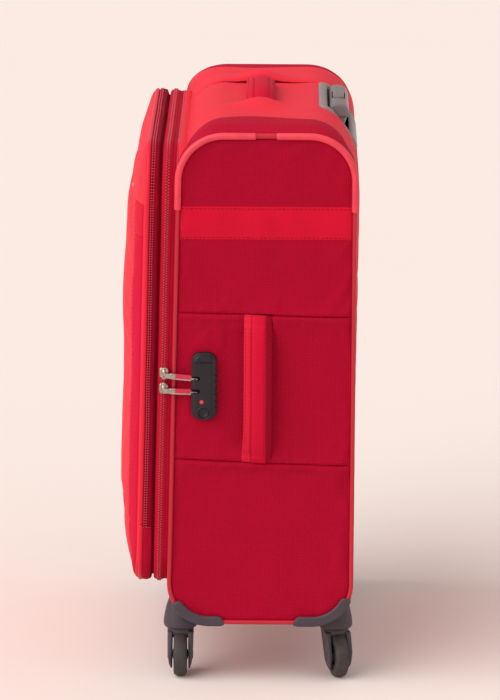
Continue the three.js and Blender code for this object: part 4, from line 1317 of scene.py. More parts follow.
# fabric hinge down the far side, between the case and the lid
zz = np.linspace(-203, 203, 60)
yy = np.array([3.5, 1.0, -2.0, -5.0, -7.5, -10.0, -12.5, -15.0, -18.0])
P = np.array([[(-211.6 - 0.9 * math.exp(-((y + 10) / 6) ** 2) - 0.15 * math.sin(z / 6), y, z) for y in yy] for z in zz])
o = thick(grid("hinge_strip", slant(P), DARK), 0.9)
put(o, None, "dark_fabric")
h0, h1 = slant(np.array([-212, -4.0, 0])), slant(np.array([-212, -16.0, 0]))
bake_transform(o)

# ------------------------------------------------------------------ carry handles of three sewn strips
def rise_of(t, half, rise):
    t = np.abs(t)
    return rise * np.maximum(0, 1 - t ** 3.2) ** 0.9


# section across the strap: (position across 0..33.8, height above the strap's underside, strip)
HANDLE = [(0.0, 0.3), (0.4, 2.0), (1.2, 2.9), (4.5, 3.6), (8.0, 4.3), (8.8, 4.2), (9.1, 3.0), (9.5, 4.6), (10.6, 5.7), (13.5, 6.7), (17.5, 7.2), (21.5, 7.2),
          (24.4, 6.8), (25.6, 6.0), (26.0, 5.2), (26.5, 5.3), (28.2, 4.4), (30.4, 2.9), (32.6, 1.3), (33.8, 0.2), (31, 0.0), (22, -0.1), (12, -0.1), (3, 0.0)]
TOPSIDE = HANDLE[:20]
height_at = lambda w: float(np.interp(w, [p[0] for p in TOPSIDE], [p[1] for p in TOPSIDE]))


def handle(name, half, foot, rise, place, mats, seed):
    """A padded strap arched between two sewn ends; place(along, across, height) gives its point."""
    t = np.concatenate([np.linspace(-half - foot, -half, 6)[:-1], np.linspace(-half, half, 80), np.linspace(half, half + foot, 6)[1:]])
    P = np.zeros((len(t), len(HANDLE), 3))
    for i, s in enumerate(t):
        r = float(rise_of(np.array(s / half), half, rise)) if abs(s) < half else 0.0
        pinch = 1 - 0.4 * math.exp(-((half + foot - abs(s)) / 5.0) ** 2)
        for j, (w, h) in enumerate(HANDLE):
            hh = h * pinch + (0.22 * math.sin(s / 5.5 + j) * math.exp(-((abs(s) - half) / 16) ** 2) if h > 1 else 0)
            P[i, j] = place(s, w, r + hh)
    o = grid(name, P, mats[0], cv=True, cap=True)
    for m in mats[1:]:
        o.data.materials.append(m)
    nj = len(HANDLE)
    mi = np.zeros(len(o.data.polygons), int)
    for k in range((len(t) - 1) * nj):
        j = k % nj
        w = HANDLE[j][0]
        # the third material, where given, is the darker rear-strip webbing: painted shade on the rear strip
        mi[k] = 1 if (9.0 < w < 25.9 and j < 15) else (min(2, len(mats) - 1) if j >= 14 and j < 19 else 0)
    o.data.polygons.foreach_set("material_index", mi)
    return fix_normals(o)


def handle_stitches(name, half, rise, place, nrm):
    parts = []
    for w in (7.6, 1.9) + ((24.0,) if half > 70 else (27.0, 31.8)):
        pts = [place(s, w, float(rise_of(np.array(s / half), half, rise)) + height_at(w) + 0.1) for s in np.linspace(-half * .97, half * .97, 120)]
        parts.append(stitches("s", pts, nrm, THREAD_DARK, 3.0, 1.7, 0.65, 0.25))
    return join(name, parts)


def side_place(s, w, h):
    flare = math.exp(-((89.6 - abs(s)) / 26) ** 2)
    x = 214.5 + h - 1.8 * math.exp(-((89.6 - abs(s)) / 4) ** 2)
    y = 9.4 + w - (2.6 * flare * max(0, 1 - w / 12) if s < 0 else 0.0)
    top_, low_ = float(seam_z(0, y)), float(seam_z(1, y))
    return (x, y, (top_ + low_) / 2 + s * (top_ - low_ - 0.6) / 2 / 89.6)


o = handle("side_carry_handle", 80, 9.6, 13.6, side_place, [WEBBING, WEB_MID, WEB_REAR_PAINTED_SHADE], 81)
put(o, "root", "red_fabric", "side_handle")
put(handle_stitches("side_handle_stitches", 80, 13.6, side_place, (1, 0, 0)), "root", "red_fabric")

TOP_END = float(np.mean([on_arc(sx * 76, y=y)[2] for sx in (-1, 1) for y in (14, 26, 38)])) + 0.9


def top_place(s, w, h):
    k = max(0.0, 1 - (abs(s) / 70) ** 4)
    return (s, 9.4 + w, TOP_END + (673.2 - TOP_END) * k + h)


o = handle("top_carry_handle", 66, 15, 8.6, top_place, [WEBBING, WEB_MID], 82)
put(o, "root", "red_fabric", "top_handle")
put(handle_stitches("top_handle_stitches", 66, 8.6, top_place, (0, 0, 1)), "root", "red_fabric")

# ------------------------------------------------------------------ lock
LX = 214.3
lock = slab("lock_shell", (-36.9, 364.9, 29.4, 80.8, 10.5), LX, 223.2, LOCK, "x", 0.4, 2.6, n=10, k=6)
crest = slab("lock_crest", (-38.6, 365.2, 21.0, 74.0, 9.5), LX + 4, 224.4, LOCK, "x", 0.3, 1.6, n=10, k=5)
cutters = []
for z in (374.6, 359.4):
    c = slab("c", (-47.6, z, 12.6, 5.4, 2.6), 216.2, 228, HOLE_PAINTED_SHADE, "x", 0, 0, n=6)
    cutters.append(c)
for z in (375.0, 359.5, 343.8):
    cutters.append(slab("c", (-21.4, z, 6.6, 8.2, 1.2), 216.6, 228, HOLE_PAINTED_SHADE, "x", 0, 0, n=3))
cutters.append(slab("c", (-36.9, 393.6, 34, 0.55, 0.2), 223.0, 228, HOLE_PAINTED_SHADE, "x", 0, 0, n=3))
cutters.append(lathe("c", [(6.35, 217.2), (6.35, 228)], HOLE_PAINTED_SHADE, "x", (-37, 333.2), 40))
cutters.append(slab("c", (-35, 398.5, 14.2, 8.2, 2.2), 218.5, 228, HOLE_PAINTED_SHADE, "x", 0, 0, n=5))
body = mould("lock_case", [lock, crest], 0.55, 3)
# the cutters are given the near-black material for the walls they leave: painted shade in the slots and holes
for c in cutters:
    c.data.materials.clear(); c.data.materials.append(HOLE_PAINTED_SHADE)
cut(body, *cutters)
for p in body.data.polygons:
    p.use_smooth = True
mod = body.modifiers.new("split", "EDGE_SPLIT"); mod.split_angle = 50 * RAD
bake(body)
put(body, "root", "slate_plastic", "lock_body")
# parting line, bezel ring and plain dot
ringo = lathe("lock_key_bezel", [(6.5, 223.6), (6.6, 224.7), (7.2, 225.1), (7.9, 224.9), (8.2, 224.2), (8.2, 223.4)], LOCK, "x", (-37, 333.2), 48)
put(ringo, "root", "slate_plastic")
dot = lathe("lock_dot", [(2.3, 224.2), (2.3, 224.55), (2.0, 224.75), (0.02, 224.8)], DOT, "x", (-39.6, 346.6), 28)
put(dot, "root", "slate_plastic")
for i, z in enumerate((375.0, 359.5, 343.8)):
    n = 60
    prof = []
    a = np.linspace(0, 2 * math.pi, n, endpoint=False)
    P = []
    for d, r in ((-3.5, 4.2), (-3.2, 4.9), (-2.2, 5.05), (2.2, 5.05), (3.2, 4.9), (3.5, 4.2)):
        rr = r - (0.42 * (np.cos(a * 10) > 0.2) if abs(d) < 3.3 else 0)
        P.append(np.stack([219 + rr * np.cos(a), -26.4 + rr * np.sin(a), np.full(n, z + d)], 1))
    o = fix_normals(grid("dial_%d" % (i + 1), np.array(P), DIAL, cv=True, cap=True))
    put(bevel(o, 0.12, 2, 30), "lock_dial_%d" % (i + 1), "slate_plastic", "lock_dial_%d" % (i + 1))
key = lathe("key_cylinder", [(5.95, 217.5), (5.95, 223.3), (5.6, 223.9), (4.6, 224.15), (4.2, 223.5), (3.4, 223.3), (0.02, 223.3)], DIAL, "x", (-37, 333.2), 44)
slot_c = slab("c", (-37, 333.2, 1.4, 5.2, 0.5), 220.8, 226, HOLE_PAINTED_SHADE, "x", 0, 0, n=3)
hole_c = lathe("c", [(1.5, 220.6), (1.5, 226)], HOLE_PAINTED_SHADE, "x", (-37, 333.2), 20)
# these cutters also get the near-black material: painted shade in the key's slot and hole
for c in (slot_c, hole_c):
    c.data.materials.clear(); c.data.materials.append(HOLE_PAINTED_SHADE)
cut(key, slot_c, hole_c)
put(key, "lock_key_cylinder", "slate_plastic", "lock_key_cylinder")
btn = slab("release_button", (-35, 398.5, 13.8, 7.8, 2.0), 219.0, 224.2, LOCK, "x", 0.3, 0.5, n=6)
ribs = [slab("r", (-35 + d, 398.5, 0.7, 5.2, 0.3), 223.9, 224.45, LOCK, "x", 0, 0.2, n=3) for d in (-3.6, -1.2, 1.2, 3.6)]
put(join("release_button", [btn] + ribs), "lock_release", "slate_plastic", "lock_release_button")

# ------------------------------------------------------------------ zip sliders and pull tabs
def slant_obj(o):
    """Moves a piece made in the slanted front axes into place."""
    me = o.data
    co = np.zeros(len(me.vertices) * 3); me.vertices.foreach_get("co", co)
    p = slant(co.reshape(-1, 3) / MM - SHIFT)
    me.vertices.foreach_set("co", to_row(p).ravel())
    me.update()
    return o


for tag, z, turn in (("upper", 379.5, 1), ("lower", 360.5, -1)):
    zl = (z - LID_Z) / CT
    base = slab("b", (-9.2, zl, 10.4, 12.6, 3.4), 213.6, 215.2, NICKEL, "x", 0.3, 0.6, n=6)
    neck = slab("b", (-9.2, zl + 1.0 * turn, 4.8, 6.6, 1.6), 214.6, 216.6, NICKEL, "x", 0.2, 0.4, n=5)
    crown = slab("b", (-9.0, zl, 10.6, 12.4, 4.0), 216.0, 217.8, NICKEL, "x", 0.5, 0.7, n=6)
    # bridge that the tab's eye hangs from
    a = np.linspace(0, math.pi, 13)
    path = np.stack([217.2 + 3.0 * np.sin(a), np.full(13, -8.9), zl + 4.3 * np.cos(a)], 1)
    bridge = sweep("b", path, circle(1.9, 12, 1.0), NICKEL, (0, 1, 0))
    stub = lathe("b", [(2.6, 215.5), (2.6, 218.8), (2.1, 219.3), (0.02, 219.4)], NICKEL, "x", (-8.8, zl - 5.4 * turn), 24)
    o = slant_obj(mould("zip_slider_%s" % tag if False else "slider_" + tag, [base, neck, crown, bridge, stub], 0.42, 2))
    put(o, "zip_slider_" + tag, "zip_metal", "zip_slider_" + tag)
    tz = zl - 2.5 if tag == "upper" else zl - 2
    slope = -2.3 if tag == "upper" else -0.4     # the tab dips a little towards its tip
    def bar(y0, y1, h, x0, x1, mat, r1=0.5, rr=1.4, dz=0.0):
        return slab("b", ((y0 + y1) / 2, tz + dz, y1 - y0, h, rr), x0, x1, mat, "x", 0.3, r1, n=5)
    lug = bar(-10.4, 1.0, 6.2, 219.2, 221.0, NICKEL, 0.6, 2.6)
    frame_bar = bar(-1.5, 23.6, 7.2, 219.0, 221.3, NICKEL, 0.7, 1.3)
    tip = bar(22.0, 31.0, 3.0, 219.3, 220.9, NICKEL, 0.5, 1.4, dz=-1.0)
    metal_part = mould("m", [lug, frame_bar, tip], 0.35, 2)
    eye = lathe("c", [(1.25, 217), (1.25, 223)], NICKEL, "x", (-8.6, tz), 20)
    hole = slab("c", (27.6, tz - 1.0, 2.6, 1.2, 0.55), 217, 223, NICKEL, "x", 0, 0, n=4)
    cut(metal_part, eye, hole)
    insert = bar(4.4, 22.9, 5.3, 220.2, 221.9, ENAMEL, 0.35, 0.9, dz=0.95)
    o = join("tab_" + tag, [metal_part, insert])
    me = o.data
    co = np.zeros(len(me.vertices) * 3); me.vertices.foreach_get("co", co); co = co.reshape(-1, 3)
    yl = co[:, 1] / MM - SHIFT[1]
    co[:, 2] += slope * MM * np.clip((yl + 8.6) / 34, 0, 1.2)
    me.vertices.foreach_set("co", co.ravel())
    slant_obj(o)
    put(o, "pull_tab_" + tag, "zip_metal", "pull_tab_" + tag)

# pocket slider with a small wire loop
zl = (588 - LID_Z) / CT
b1 = slab("b", (140, zl, 9.5, 7.0, 2.4), -50.0, -51.4, NICKEL, "y", 0.2, 0.6, n=5)
b2 = slab("b", (140, zl, 7.6, 5.4, 2.4), -51.2, -52.5, NICKEL, "y", 0.2, 0.6, n=5)
a = np.linspace(0, math.pi, 11)
b3 = sweep("b", np.stack([140 + 2.4 * np.cos(a), -52.2 - 1.0 * np.sin(a), np.full(11, zl)], 1), circle(0.6, 8), NICKEL, (0, 0, 1))
put(slant_obj(mould("front_slider", [b1, b2, b3], 0.4, 2)), "pocket_zip_slider", "zip_metal", "pocket_slider")

# ------------------------------------------------------------------ casters
def band_poly(c, o_out, o_in, a0, a1, end_y, back):
    n = 26
    a = np.linspace(a0, a1, n) * RAD
    def curve(o):
        p = np.stack([c[0] + (c[2] + o) * np.cos(a), c[1] + (c[2] + o) * np.sin(a)], 1)
        tail = np.array([[end_y, 72 - o]])
        return np.vstack([tail, p]) if back else np.vstack([p, tail])
    return curve(o_out), curve(o_in)


def housing_piece(back):
    """One moulded corner: a band over the side piping, a rim round the corner and the boss over the swivel."""
    c = CORNER["bb"] if back else CORNER["bf"]
    cy = 120.0 if back else -65.0
    a0, a1 = (270, 339) if back else (209, 270)
    end_y = 69.3 if back else -12.6
    far = 1 if back else -1
    n = 40
    # centreline of the side arm: (y, z, outward normal), from the arm's end to the corner's tip
    arc = np.linspace(a0, a1, n) * RAD
    pts = np.stack([c[0] + c[2] * np.cos(arc), c[1] + c[2] * np.sin(arc), np.cos(arc), np.sin(arc)], 1)
    if not back:
        pts = pts[::-1]
    tail = np.array([[y, 72.0, 0, -1] for y in np.linspace(end_y, pts[0, 0], 26)[:-1]])
    line = np.vstack([tail, pts])
    L_ = np.concatenate([[0], np.cumsum(np.linalg.norm(np.diff(line[:, :2], axis=0), axis=1))])
    tot = L_[-1]
    def width_in(s):          # how far the band reaches inwards over the panel
        w = 10.8
        w *= math.sqrt(max(0.0, 1 - max(0, (7.5 - s) / 7.5) ** 2)) if s < 7.5 else 1
        if tot - s < 7:
            w *= math.sqrt(max(0.0, 1 - ((7 - (tot - s)) / 7) ** 2)) * .35 + .65
        return w
    P = []
    for k, (y, z, ny, nz) in enumerate(line):
        s = L_[k]
        wi = width_in(s)
        thin = min(1, max(.35, s / 4, )) * min(1, max(.35, (tot - s) / 3))
        o1 = 2.0 * thin
        top = 219.2 - (1 - thin) * 1.2
        prof = [(202.0, -0.4), (202.0, o1), (216.4, o1), (218.3, o1 - .7), (top, o1 - 2.0), (top, -(wi - 2.4)), (218.6, -(wi - 1.0)), (217.6, -wi), (216.9, -wi), (216.5, -wi + .6), (216.5, -0.4)]
        P.append([(x, y + ny * o, z + nz * o) for x, o in prof])
    arm = fix_normals(grid("h", np.array(P), SLATE, cv=True, cap=True))
    # rim under the panel, from the side towards the middle
    P = []
    for (y, z, ny, nz) in pts:
        prof = [(150.0, -0.4), (150.0, 1.2), (151.2, 2.0), (204.0, 2.0), (204.0, -0.4)]
        P.append([(x, y + ny * o, z + nz * o) for x, o in prof])
    rim = fix_normals(grid("h", np.array(P), SLATE, cv=True, cap=True))
    prof = [(0.05, 56.8), (16.8, 56.8), (19.0, 57.6), (20.2, 59.6), (20.5, 62.5), (20.2, 67), (19.2, 73), (17.2, 82), (14.0, 92), (10.0, 99), (0.05, 102)]
    boss = lathe("h", prof, SLATE, "z", (172.0, cy), 56)
    o = mould("h", [arm, rim, boss], 0.95, 3)
    # keep clear of the case: nothing of the boss shows inside the panel's outline
    me = o.data
    co = np.zeros(len(me.vertices) * 3); me.vertices.foreach_get("co", co)
    p = co.reshape(-1, 3) / MM - SHIFT
    dy, dz = p[:, 1] - c[0], p[:, 2] - c[1]
    r = np.hypot(dy, dz)
    corner_side = (dy * far > 0) & (dz < 0)
    inside = np.where(corner_side, c[2] + 0.2 - r, np.where(dz < 0, p[:, 2] - 71.8, 1.0))
    deep = (p[:, 0] < 209) & (inside > 0) & (p[:, 0] > 120)
    for i in np.nonzero(deep)[0]:
        if corner_side[i]:
            p[i, 1] = c[0] + dy[i] / r[i] * (c[2] + 0.15); p[i, 2] = c[1] + dz[i] / r[i] * (c[2] + 0.15)
        elif dz[i] < 0:
            p[i, 2] = 71.8
    me.vertices.foreach_set("co", to_row(p).ravel())
    me.update()
    return o


HOUSE = {0: housing_piece(0), 1: housing_piece(1)}
for tag, back, side in (("front_right", 0, 1), ("front_left", 0, -1), ("back_right", 1, 1), ("back_left", 1, -1)):
    src = HOUSE[back]
    o = moved(src, "wheel_housing_" + tag, lambda p: p) if side > 0 else mirror_x(src, "wheel_housing_" + tag)
    put(o, "root", "slate_plastic", "caster_housing_" + tag)
for o in HOUSE.values():
    bpy.data.objects.remove(o)

TRAIL, WR = 14.0, 26.0


def fork_piece():
    cap = lathe("f", [(0.05, 51.6), (9.0, 51.6), (12.5, 47.2), (15.2, 47.4), (15.9, 49.0), (15.9, 56.2), (15.4, 56.9), (0.05, 56.9)], FORK, "z", (0, 0), 48)
    stem = lathe("f", [(0.05, 55), (3.9, 55), (3.9, 64.5), (3.4, 65), (0.05, 65)], STEEL, "z", (0, 0), 20)
    parts = [cap]
    for sg in (-1, 1):
        # arm: from the cap down past the axle to a rounded tip, leaning out a little at the bottom
        P = []
        for zz_ in np.linspace(54, 8.6, 34):
            t = (54 - zz_) / 45.4
            cx = 1.0 + 13.0 * min(1, t / 0.55) ** 0.9
            half = 14.5 - 3.2 * t if t < 0.6 else 12.6 * math.sqrt(max(0.0, 1 - ((t - 0.6) / 0.405) ** 2.2))
            half = max(half, 1.6)
            y_in = float(np.interp(t, [0, 0.5, 1], [9.2, 9.6, 9.7]))
            y_out = float(np.interp(t, [0, 0.5, 0.8, 1], [15.4, 15.2, 13.8, 11.4]))
            sec = rounded(cx, (y_in + y_out) / 2, 2 * half, y_out - y_in, min(1.5, (y_out - y_in) / 2 - .05), 4)
            P.append(np.stack([sec[:, 0], sg * sec[:, 1], np.full(len(sec), zz_)], 1))
        parts.append(fix_normals(grid("f", np.array(P), FORK, cv=True, cap=True)))
        parts.append(lathe("f", [(0.05, sg * 9.6), (5.4, sg * 9.6), (5.4, sg * 14.8), (4.7, sg * 15.35), (0.05, sg * 15.4)], FORK, "y", (TRAIL, WR), 32))
    # guard over the wheel
    a = np.linspace(104, 156, 14) * RAD
    P = []
    for t in a:
        r0_, r1_ = WR + 2.2, WR + 4.4
        ca, sa = math.cos(t), math.sin(t)
        P.append([(TRAIL + r * ca, w, WR + r * sa) for r, w in ((r0_, -11), (r1_, -11), (r1_ + .6, 0), (r1_, 11), (r0_, 11))])
    parts.append(fix_normals(grid("f", np.array(P), FORK, cv=True, cap=True)))
    f = mould("f", parts, 0.75, 3)
    return join("f", [f, stem])


FORK_SRC = fork_piece()
tp_ = [(14.5, -7.3), (20.5, -7.9), (22.6, -7.8), (24.4, -7.0), (25.5, -5.2), (25.95, -2.6), (26.0, 0), (25.95, 2.6), (25.5, 5.2), (24.4, 7.0), (22.6, 7.8), (20.5, 7.9), (14.5, 7.3)]
tyre_src = lathe("tyre", tp_, TYRE, "y", (TRAIL, WR), 72, closed_profile=True)
# hub: rim, boss and five spokes
h1 = lathe("h", [(12.2, -6.8), (14.1, -6.9), (14.2, -6.0), (14.2, 6.0), (14.1, 6.9), (12.2, 6.8)], SLATE, "y", (TRAIL, WR), 56, closed_profile=True)
h2 = lathe("h", [(3.25, -9.2), (5.6, -9.2), (6.3, -8.6), (6.4, 0), (6.3, 8.6), (5.6, 9.2), (3.25, 9.2)], SLATE, "y", (TRAIL, WR), 40, closed_profile=True)
web = lathe("h", [(5.0, -1.4), (13.0, -1.4), (13.0, 1.4), (5.0, 1.4)], SLATE, "y", (TRAIL, WR), 56, closed_profile=True)
sp = []
for k in range(5):
    a = (k * 72 + 90) * RAD
    d, e = np.array([math.cos(a), math.sin(a)]), np.array([-math.sin(a), math.cos(a)])
    poly = np.array([np.array([TRAIL, WR]) + d * r + e * w for r, w in ((5.4, -2.3), (13.2, -1.5), (13.2, 1.5), (5.4, 2.3))])
    sp.append(plate("h", poly, -5.6, 5.6, SLATE, "y"))
hub_src = mould("hub", [h1, h2, web] + sp, 0.6, 2)
axle_src = lathe("axle", [(0.05, -14.9), (2.3, -14.9), (2.9, -14.5), (3.0, -14.0), (3.0, 14.0), (2.9, 14.5), (2.3, 14.9), (0.05, 14.9)], STEEL, "y", (TRAIL, WR), 28)
for tag, cx, cy, turn in (("front_right", 172, -65, 0), ("front_left", -172, -65, 8), ("back_right", 172, 120, 14), ("back_left", -172, 120, -6)):
    ca, sa = math.cos(turn * RAD), math.sin(turn * RAD)
    place = lambda p: np.stack([cx + p[:, 0] * ca - p[:, 1] * sa, cy + p[:, 0] * sa + p[:, 1] * ca, p[:, 2]], 1)
    put(moved(FORK_SRC, "fork_" + tag, place), "caster_" + tag, "slate_plastic", "caster_fork_" + tag)
    put(moved(axle_src, "axle_" + tag, place), "caster_" + tag, "axle_steel", "caster_axle_" + tag)
    put(moved(tyre_src, "tyre_" + tag, place), "wheel_" + tag, "tyre", "caster_tyre_" + tag)
    put(moved(hub_src, "hub_" + tag, place), "wheel_" + tag, "slate_plastic", "caster_hub_" + tag)
for o in (FORK_SRC, axle_src, tyre_src, hub_src):
    bpy.data.objects.remove(o)

# ------------------------------------------------------------------ trolley: bezel, recess, tubes, grip
def bezel_point(x, ang, h):
    w = float(top_puff(np.array(x), np.array(max(0.0, 90 - ang)))) + h
    return np.array([x, 84.3 + (56 + w) * math.cos(ang * RAD), 608 + (56 + w) * math.sin(ang * RAD)])


def rect_ring(hx, s_hi, s_lo, r, n=9):
    """A rounded rectangle in (x, arc length from the top of the corner)."""
    return rounded(0, (s_hi + s_lo) / 2, 2 * hx, abs(s_hi - s_lo), r, n)


s_of = lambda ang: (90 - ang) * RAD * 56
levels = [(78.0, 79.6, 11.25, 10.0, -0.6), (78.0, 79.6, 11.25, 10.0, 1.2), (77.3, 78.9, 12.0, 9.6, 2.6), (75.8, 77.2, 13.6, 9.0, 3.3), (73.4, 73.6, 22.0, 8.0, 3.2),
          (71.8, 71.0, 28.0, 7.0, 2.6), (71.0, 70.0, 29.6, 6.4, 1.2), (70.8, 69.6, 30.0, 6.0, -0.6)]
P = []
for hx, a_top, a_bot, r, h in levels:
    rr = rect_ring(hx, s_of(a_top), s_of(a_bot), r, 10)
    P.append([bezel_point(x, 90 - s / 56 / RAD, h) for x, s in rr])
last = np.array(P[-1])
for f in (0.12, 0.5, 0.9, 1.0):
    lv = last.copy()
    lv[:, 2] = last[:, 2] + (636.2 - last[:, 2]) * f
    P.append(lv)
P = np.array(P)
P = np.stack([P[i] for i in range(len(P))])
o = grid("bezel_frame", P[:8], GREY, cv=True)
# the recess's walls, its floor and the tube collars take the near-black plastic: painted shade in the well
o2 = grid("b2", P[7:], RECESS_PAINTED_SHADE, cv=True)
floor_ring = P[-1]
c0 = floor_ring.mean(0)
o3 = grid("b3", np.array([floor_ring, c0 + (floor_ring - c0) * 0.5, c0 + (floor_ring - c0) * 0.02]), RECESS_PAINTED_SHADE, cv=True, cap=True, smooth=False)
collars = []
for sx in (-1, 1):
    for (w, h, d0, d1, r) in ((22.5, 18.5, 635.9, 637.2, 4.2),):
        oc = rounded(sx * 54, 119, w, h, r, 6); ic = rounded(sx * 54, 119, 17.8, 12.8, 2.6, 6)
        lv = [(oc, 635.9), (oc, 636.9), (rounded(sx * 54, 119, w - 1, h - 1, r - .4, 6), 637.4), (rounded(sx * 54, 119, 18.4, 13.4, 2.9, 6), 637.4), (ic, 636.8), (ic, 635.9)]
        collars.append(grid("b4", np.array([np.stack([q[:, 0], q[:, 1], np.full(len(q), z)], 1) for q, z in lv]), RECESS_PAINTED_SHADE, cv=True))
bz_ = join("bezel_frame", [o, o2, o3] + collars)
put(bz_, "root", "trolley_plastic", "trolley_bezel")

TW = {"outer": (20, 15, 1.1, 112.3, 632.7), "middle": (17, 12, 1.1, 127, 637.5), "inner": (14, 9, 1.2, 142, 641.7)}
for which, (w, h, t, z0, z1) in TW.items():
    for tag, sx in (("right", 1), ("left", -1)):
        lv = []
        for q, z in ((rounded(sx * 54, 119, w - 2 * t, h - 2 * t, 2, 5), z0), (rounded(sx * 54, 119, w, h, 3, 5), z0),
                     (rounded(sx * 54, 119, w, h, 3, 5), z1 - .4), (rounded(sx * 54, 119, w - .8, h - .8, 2.7, 5), z1), (rounded(sx * 54, 119, w - 2 * t, h - 2 * t, 2, 5), z1)):
            lv.append(np.stack([q[:, 0], q[:, 1], np.full(len(q), z)], 1))
        a_, b_ = np.array(lv[1]), np.array(lv[2])
        mid = [a_ + (b_ - a_) * k for k in np.linspace(0, 1, 30)[1:-1]]
        P = np.array([lv[0], lv[1]] + mid + [lv[2], lv[3], lv[4]])
        o = fix_normals(grid("%s_stage_%s" % (which, tag), P, ALU, cv=True, cu=True))
        extras = []
        if which != "outer":
            # near-black dimples for the tubes' detent holes: painted shade
            for k, zc in enumerate((z1 - 60, z1 - 130, z1 - 200)):
                extras.append(lathe("d", [(0.02, 119 - h / 2 - .08), (2.2, 119 - h / 2 - .08), (2.6, 119 - h / 2 + .3)], HOLE_PAINTED_SHADE, "y", (sx * 54, zc), 20))
        o = join("%s_stage_%s" % (which, tag), [o] + extras)
        body = {"outer": "root", "middle": "trolley_middle", "inner": "trolley_handle"}[which]
        put(o, body, "tube_metal", "%s_tube_%s" % (which, tag))

tb = slab("trolley_foot", (0, 105, 144, 14, 3.0), 109.7, 127.8, SLATE, "y", 0.8, 0.8, n=6)
arch_cut = slab("c", (0, 97.5, 60, 12, 5.5), 100, 140, SLATE, "y", 0, 0, n=8)
put(cut(tb, arch_cut), "root", "slate_plastic", "trolley_base")

# grip: smooth bar with two legs, hollowed for the button
prof = [(108.6, 657.2), (108.0, 660.5), (108.2, 664.5), (109.3, 668.6), (111.8, 671.4), (115.5, 672.3), (120, 672.2), (124.6, 671.6), (128.0, 669.6), (130.6, 665.8), (131.9, 661.0), (131.4, 657.0), (130.0, 655.2), (120.0, 655.6), (110.6, 656.2)]
prof = np.array(prof)
cc = prof.mean(0)
P = []
for x in np.concatenate([[-64, -63.7, -62.6, -60.6], np.linspace(-57, 57, 24), [60.6, 62.6, 63.7, 64]]):
    e = 64 - abs(x)
    k = math.sqrt(max(0.0, 1 - (max(0, 4 - e) / 4) ** 2)) * 0.18 + 0.82 if e < 4 else 1.0
    dip = 0.8 * math.cos(x / 64 * math.pi / 2) if abs(x) < 64 else 0
    pr = cc + (prof - cc) * k
    P.append([(x, y, z) for y, z in pr])
bar_ = fix_normals(grid("g", np.array(P), GRIP, cv=True, cap=True))
legs = []
for sx in (-1, 1):
    lv = []
    for z_, wx_, wy_ in ((642.0, 13, 8.5), (642.6, 15.5, 11), (645, 17, 13.2), (650, 19, 17.4), (656, 20, 21.0), (662, 20.4, 22.6), (666, 20.4, 22.0)):
        q_ = rounded(sx * 53.2, 119.2, wx_, wy_, min(wx_, wy_) * 0.42, 8)
        lv.append(np.stack([q_[:, 0], q_[:, 1], np.full(len(q_), z_)], 1))
    legs.append(fix_normals(grid("g", np.array(lv), GRIP, cv=True, cap=True)))
grip = mould("grip_bar", [bar_] + legs, 0.8, 7)
well = slab("c", (0, 119.5, 45.8, 16.0, 4.4), 666.0, 690.0, GRIP, "z", 0, 0, n=7)
# the button well's cutter also gets the near-black material: painted shade
well.data.materials.clear(); well.data.materials.append(HOLE_PAINTED_SHADE)
cut(grip, well)
mod = grip.modifiers.new("split", "EDGE_SPLIT"); mod.split_angle = 50 * RAD
bake(grip)
put(grip, "trolley_handle", "trolley_plastic", "trolley_grip")
# near-black seat ring that shows in the gap round the button: painted shade
q0 = [(rounded(0, 119.5, 45.6, 15.8, 4.3, 7), 667.2), (rounded(0, 119.5, 45.6, 15.8, 4.3, 7), 666.6), (rounded(0, 119.5, 44.4, 14.4, 3.8, 7), 666.6)]
o = grid("grip_button_seat", np.array([np.stack([q[:, 0], q[:, 1], np.full(len(q), z)], 1) for q, z in q0]), HOLE_PAINTED_SHADE, cv=True)
put(thick(o, 0.3), "trolley_handle", "trolley_plastic")
o = slab("push_button", (0, 119.5, 43.6, 13.6, 3.2), 667.6, 673.4, GRIP, "z", 0.3, 1.1, n=8, k=5)
ribs = [slab("r", (0, 119.5 + d, 30, 0.8, 0.35), 673.2, 673.8, GRIP, "z", 0, 0.25, n=3) for d in (-3, 0, 3)]
put(join("push_button", [o] + ribs), "trolley_button", "slate_plastic", "trolley_button")

# ------------------------------------------------------------------ inside of the case and the lid
loop = inset_pts(side_loop(7.0), 6.5)
loop = loop[::-1]
xs = np.linspace(-207.5, 207.5, 40)
keep = [p for p in loop]
# open at the front: take the loop without its front straight
pts = np.array(keep)
front = (pts[:, 0] < -62) & (pts[:, 1] > 118) & (pts[:, 1] < 632)
k0 = np.nonzero(front)[0]
order = np.roll(np.arange(len(pts)), -(k0[-1] + 1)) if (np.diff(k0) == 1).all() else np.arange(len(pts))
pts = pts[order]
pts = pts[~((pts[:, 0] < -62) & (pts[:, 1] > 118) & (pts[:, 1] < 632))]
back_run = pts[:, 0] > 106
P = []
for x in xs:
    row = pts.copy()
    row[:, 0] = np.minimum(row[:, 0], 104.8)
    wob = 0.8 * waves(np.full(len(row), x), row[:, 1], 91, 90)
    P.append(np.stack([np.full(len(row), x), row[:, 0] - np.abs(wob) * 0.5, row[:, 1] + 0 * wob], 1))
o = thick(grid("case_lining", np.array(P), LINING), 0.6)
put(o, "root", "lining")
for tag, sx in (("right", 1), ("left", -1)):
    zr = np.linspace(80, 656, 60)
    P = []
    for z in zr:
        a, b = side_span(z, 7.0)
        b = min(b, 105)
        P.append([(sx * (208.0 - 0.6 * abs(math.sin(t * 17 + z / 31)) * math.sin(t * math.pi)), a + (b - a) * t, z) for t in np.linspace(0, 1, 30)])
    o = thick(grid("side_lining_" + tag, np.array(P), LINING, flip=sx > 0), 0.6)
    put(o, "root", "lining")
BXl, BZl = np.meshgrid(np.linspace(-207, 207, 70), np.linspace(91, 627, 90), indexing="ij")
yl = 105.6 + 0.8 * np.exp(-((np.abs(BXl) - 54) / 12) ** 2) * -1 + 0.4 * waves(BXl, BZl, 93, 110)
